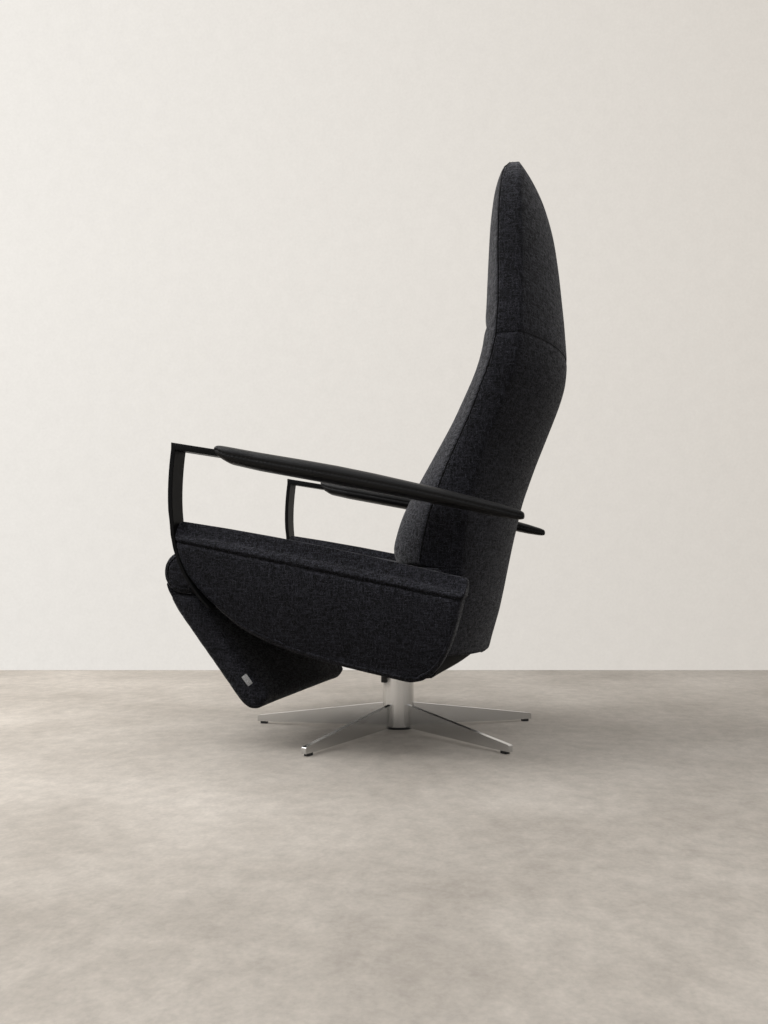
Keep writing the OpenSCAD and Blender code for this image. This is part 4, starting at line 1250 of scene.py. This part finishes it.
# The roll's radius across the panel, and how far its crest leans in
ROLL_ROUND = 22
ROLL_LEAN = 17
panel_left = pad_from_nodes("panel_cover_left", ["side_panel_left", "panel_core_left"], 0.0045)
panel_in, panel_out = (corner.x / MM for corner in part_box("side_panel_left"))
panel_middle = (panel_in + panel_out) / 2
panel_half = (panel_out - panel_in) / 2
co = read_points(panel_left)
x, y, z = on_drawing(co)
over = z - seam_height(y)
above = ramp(over, 0, 8)
co[:, 0] += MM * ROLL_STAND * above * ramp(x - panel_out, -14, -4)
co[:, 1] += MM * 2 * ROLL_STAND * above * ramp(y, 150, 180)
x, y, z = on_drawing(co)
aside = np.abs(x - panel_middle) - panel_half + ROLL_ROUND
fall = ROLL_ROUND - np.sqrt(ROLL_ROUND**2 - np.clip(aside, 0, ROLL_ROUND) ** 2)
crest = ramp(over / (np.interp(y, panel_top[:, 0], panel_top[:, 1]) - seam_height(y)), 0, 1)
co[:, 2] -= MM * fall * crest
co[:, 0] -= MM * ROLL_LEAN * crest**2 * np.sign(x - panel_middle) * ramp(aside, 0, ROLL_ROUND)
print("the roll has", int((above > 0).sum()), "points")

# %% [markdown]
# Below the seam the outer face leans in towards the floor, and along the front the cloth is drawn over
# the arm's steel blade, so that the cover's edge laps over it from the crest down to the belly.

# %% Lean of the outer face, and lap over the blade
PANEL_LEAN = 26
LEAN_DEPTH = 150
# How far the cloth laps over the blade and stands off the panel, and over what width it rises
LAP = 4.5
LAP_STAND = 4.2
LAP_WIDTH = 28
x, y, z = on_drawing(co)
co[:, 0] -= MM * PANEL_LEAN * ramp(-over, 0, LEAN_DEPTH) ** 2 * ramp(x - panel_out, -45, -5)
x, y, z = on_drawing(co)
edge_y = np.interp(z, panel_front[::-1, 1], panel_front[::-1, 0])
lapped = ramp(edge_y - y, -LAP_WIDTH, 0)
lapped = lapped**2 * (3 - 2 * lapped) * ramp(x - panel_out, -18, -6) * ramp(z, 48, 68)
co[:, 0] += MM * LAP_STAND * lapped
co[:, 1] -= MM * LAP * lapped
write_points(panel_left, co)
print(int((lapped > 0).sum()), "points lap over the blade")

# %% [markdown]
# The seam is pulled in with long puckers, a dark thread lies in it, and the welt is laid along the rim. The
# other panel is this one mirrored, so both sides stay alike.

# %% Seam, thread and welt of the panels
seam_line = [on_deck(panel_out, y, z) for y, z in PANEL_SEAM]
sew(panel_left, seam_line, depth=0.003, width=0.0038, pucker=0.018)
thread_left = welt("panel_seam_left", panel_left, seam_line, 0.0009, 0.3)
rim = [on_deck(panel_out - 4, y, z) for y, z in [*panel_belly, *panel_tail[1:-9]]]
welt_left = welt("panel_welt_left", panel_left, rim, 0.0019)
panel_right = mirror_copy(panel_left, "panel_cover_right")
welt_right = mirror_copy(welt_left, "panel_welt_right")
thread_right = mirror_copy(thread_left, "panel_seam_right")
for panel, hand in ((panel_left, "left"), (panel_right, "right")):
    finish_piece(panel, cloth_finish, "seat")
    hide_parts("side_panel_" + hand, "panel_core_" + hand)
for piece in (welt_left, welt_right):
    finish_piece(piece, cloth_finish, "seat")
for piece in (thread_left, thread_right):
    finish_piece(piece, thread_finish, "seat")
print("each panel welt has", len(welt_left.data.polygons), "faces")

# %% [markdown]
# ## Arm rests and blades
# The arm rests are slim leather pads on a flat steel blade. Their upper and lower leathers meet in a seam
# half-way down the side. The leather is drawn tight over firm foam, so these pads are smoothed and sewn,
# but not filled.

# %% Arm rests
rest_left = pad_from_nodes("arm_rest_left", ["arm_pad_left"], 0.003, soften=9)
# Distance to the rear, height of the seam, distance of the seam from the pad's middle
rest_seam = [
    (-271, 371, 24), (-245, 360, 31), (-195, 349, 34), (-110, 332, 35), (-40, 318, 35), (30, 303, 35),
    (90, 290, 35), (150, 276, 33), (205, 262, 29), (250, 251, 22), (280, 243, 15), (290, 241, 8),
]
# The pad's front end stands further out by this much, and is in line again this far behind it
REST_SHIFT = 12
REST_FRONT = -273
REST_SHIFT_END = 90
rest_middle = sum(corner.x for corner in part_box("arm_pad_left")) / 2 / MM
for sign in (1, -1):
    line = [
        on_deck(rest_middle + REST_SHIFT * max(0, 1 - (y - REST_FRONT) / REST_SHIFT_END) + sign * x, y, z)
        for y, z, x in rest_seam
    ]
    sew(rest_left, line, depth=0.0016, width=0.0022, pucker=0.008)
rest_right = mirror_copy(rest_left, "arm_rest_right")
for rest, hand in ((rest_left, "left"), (rest_right, "right")):
    finish_piece(rest, leather_finish, "seat")
    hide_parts("arm_pad_" + hand)


# %% [markdown]
# The blades, the lever's knob and the star's legs have the right shape, but a sharp edge never shows on
# real metal: it is filed or moulded round, and that thin round catches the light. A bevel on a copy gives
# it. Each leg gets its own steel, because its scratches run along the leg.


# %% Blades, knob and legs with eased edges
def eased_copy(name, node, width, body, material):
    """A copy of a metal node with its sharp edges rounded as a file leaves them."""
    piece = copy_nodes(name, node)
    sharp = math.radians(25)
    apply_modifier(piece, "BEVEL", width=width, segments=2, limit_method="ANGLE", angle_limit=sharp)
    bpy.ops.object.shade_smooth_by_angle(angle=math.radians(20))
    finish_piece(piece, material, body)
    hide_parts(node)
    print(name, "has", len(piece.data.polygons), "faces")


for hand in ("left", "right"):
    eased_copy("blade_" + hand, "arm_blade_" + hand, 0.001, "seat", slot_finish["black_blade"])
eased_copy("lever_knob_round", "lever_knob", 0.004, "lever", slot_finish["black_plastic"])
# Degrees from the chair's left to the first leg, and from each leg to the next
LEG_TURN = -19
LEG_STEP = 72
for number in range(1, 6):
    turn = math.radians(LEG_TURN + LEG_STEP * (number - 1))
    steel = brushed_steel(f"stainless_steel_brushed_leg_{number}", turn=turn)
    eased_copy(f"star_leg_{number}", f"leg_{number}", 0.0007, "base", steel)
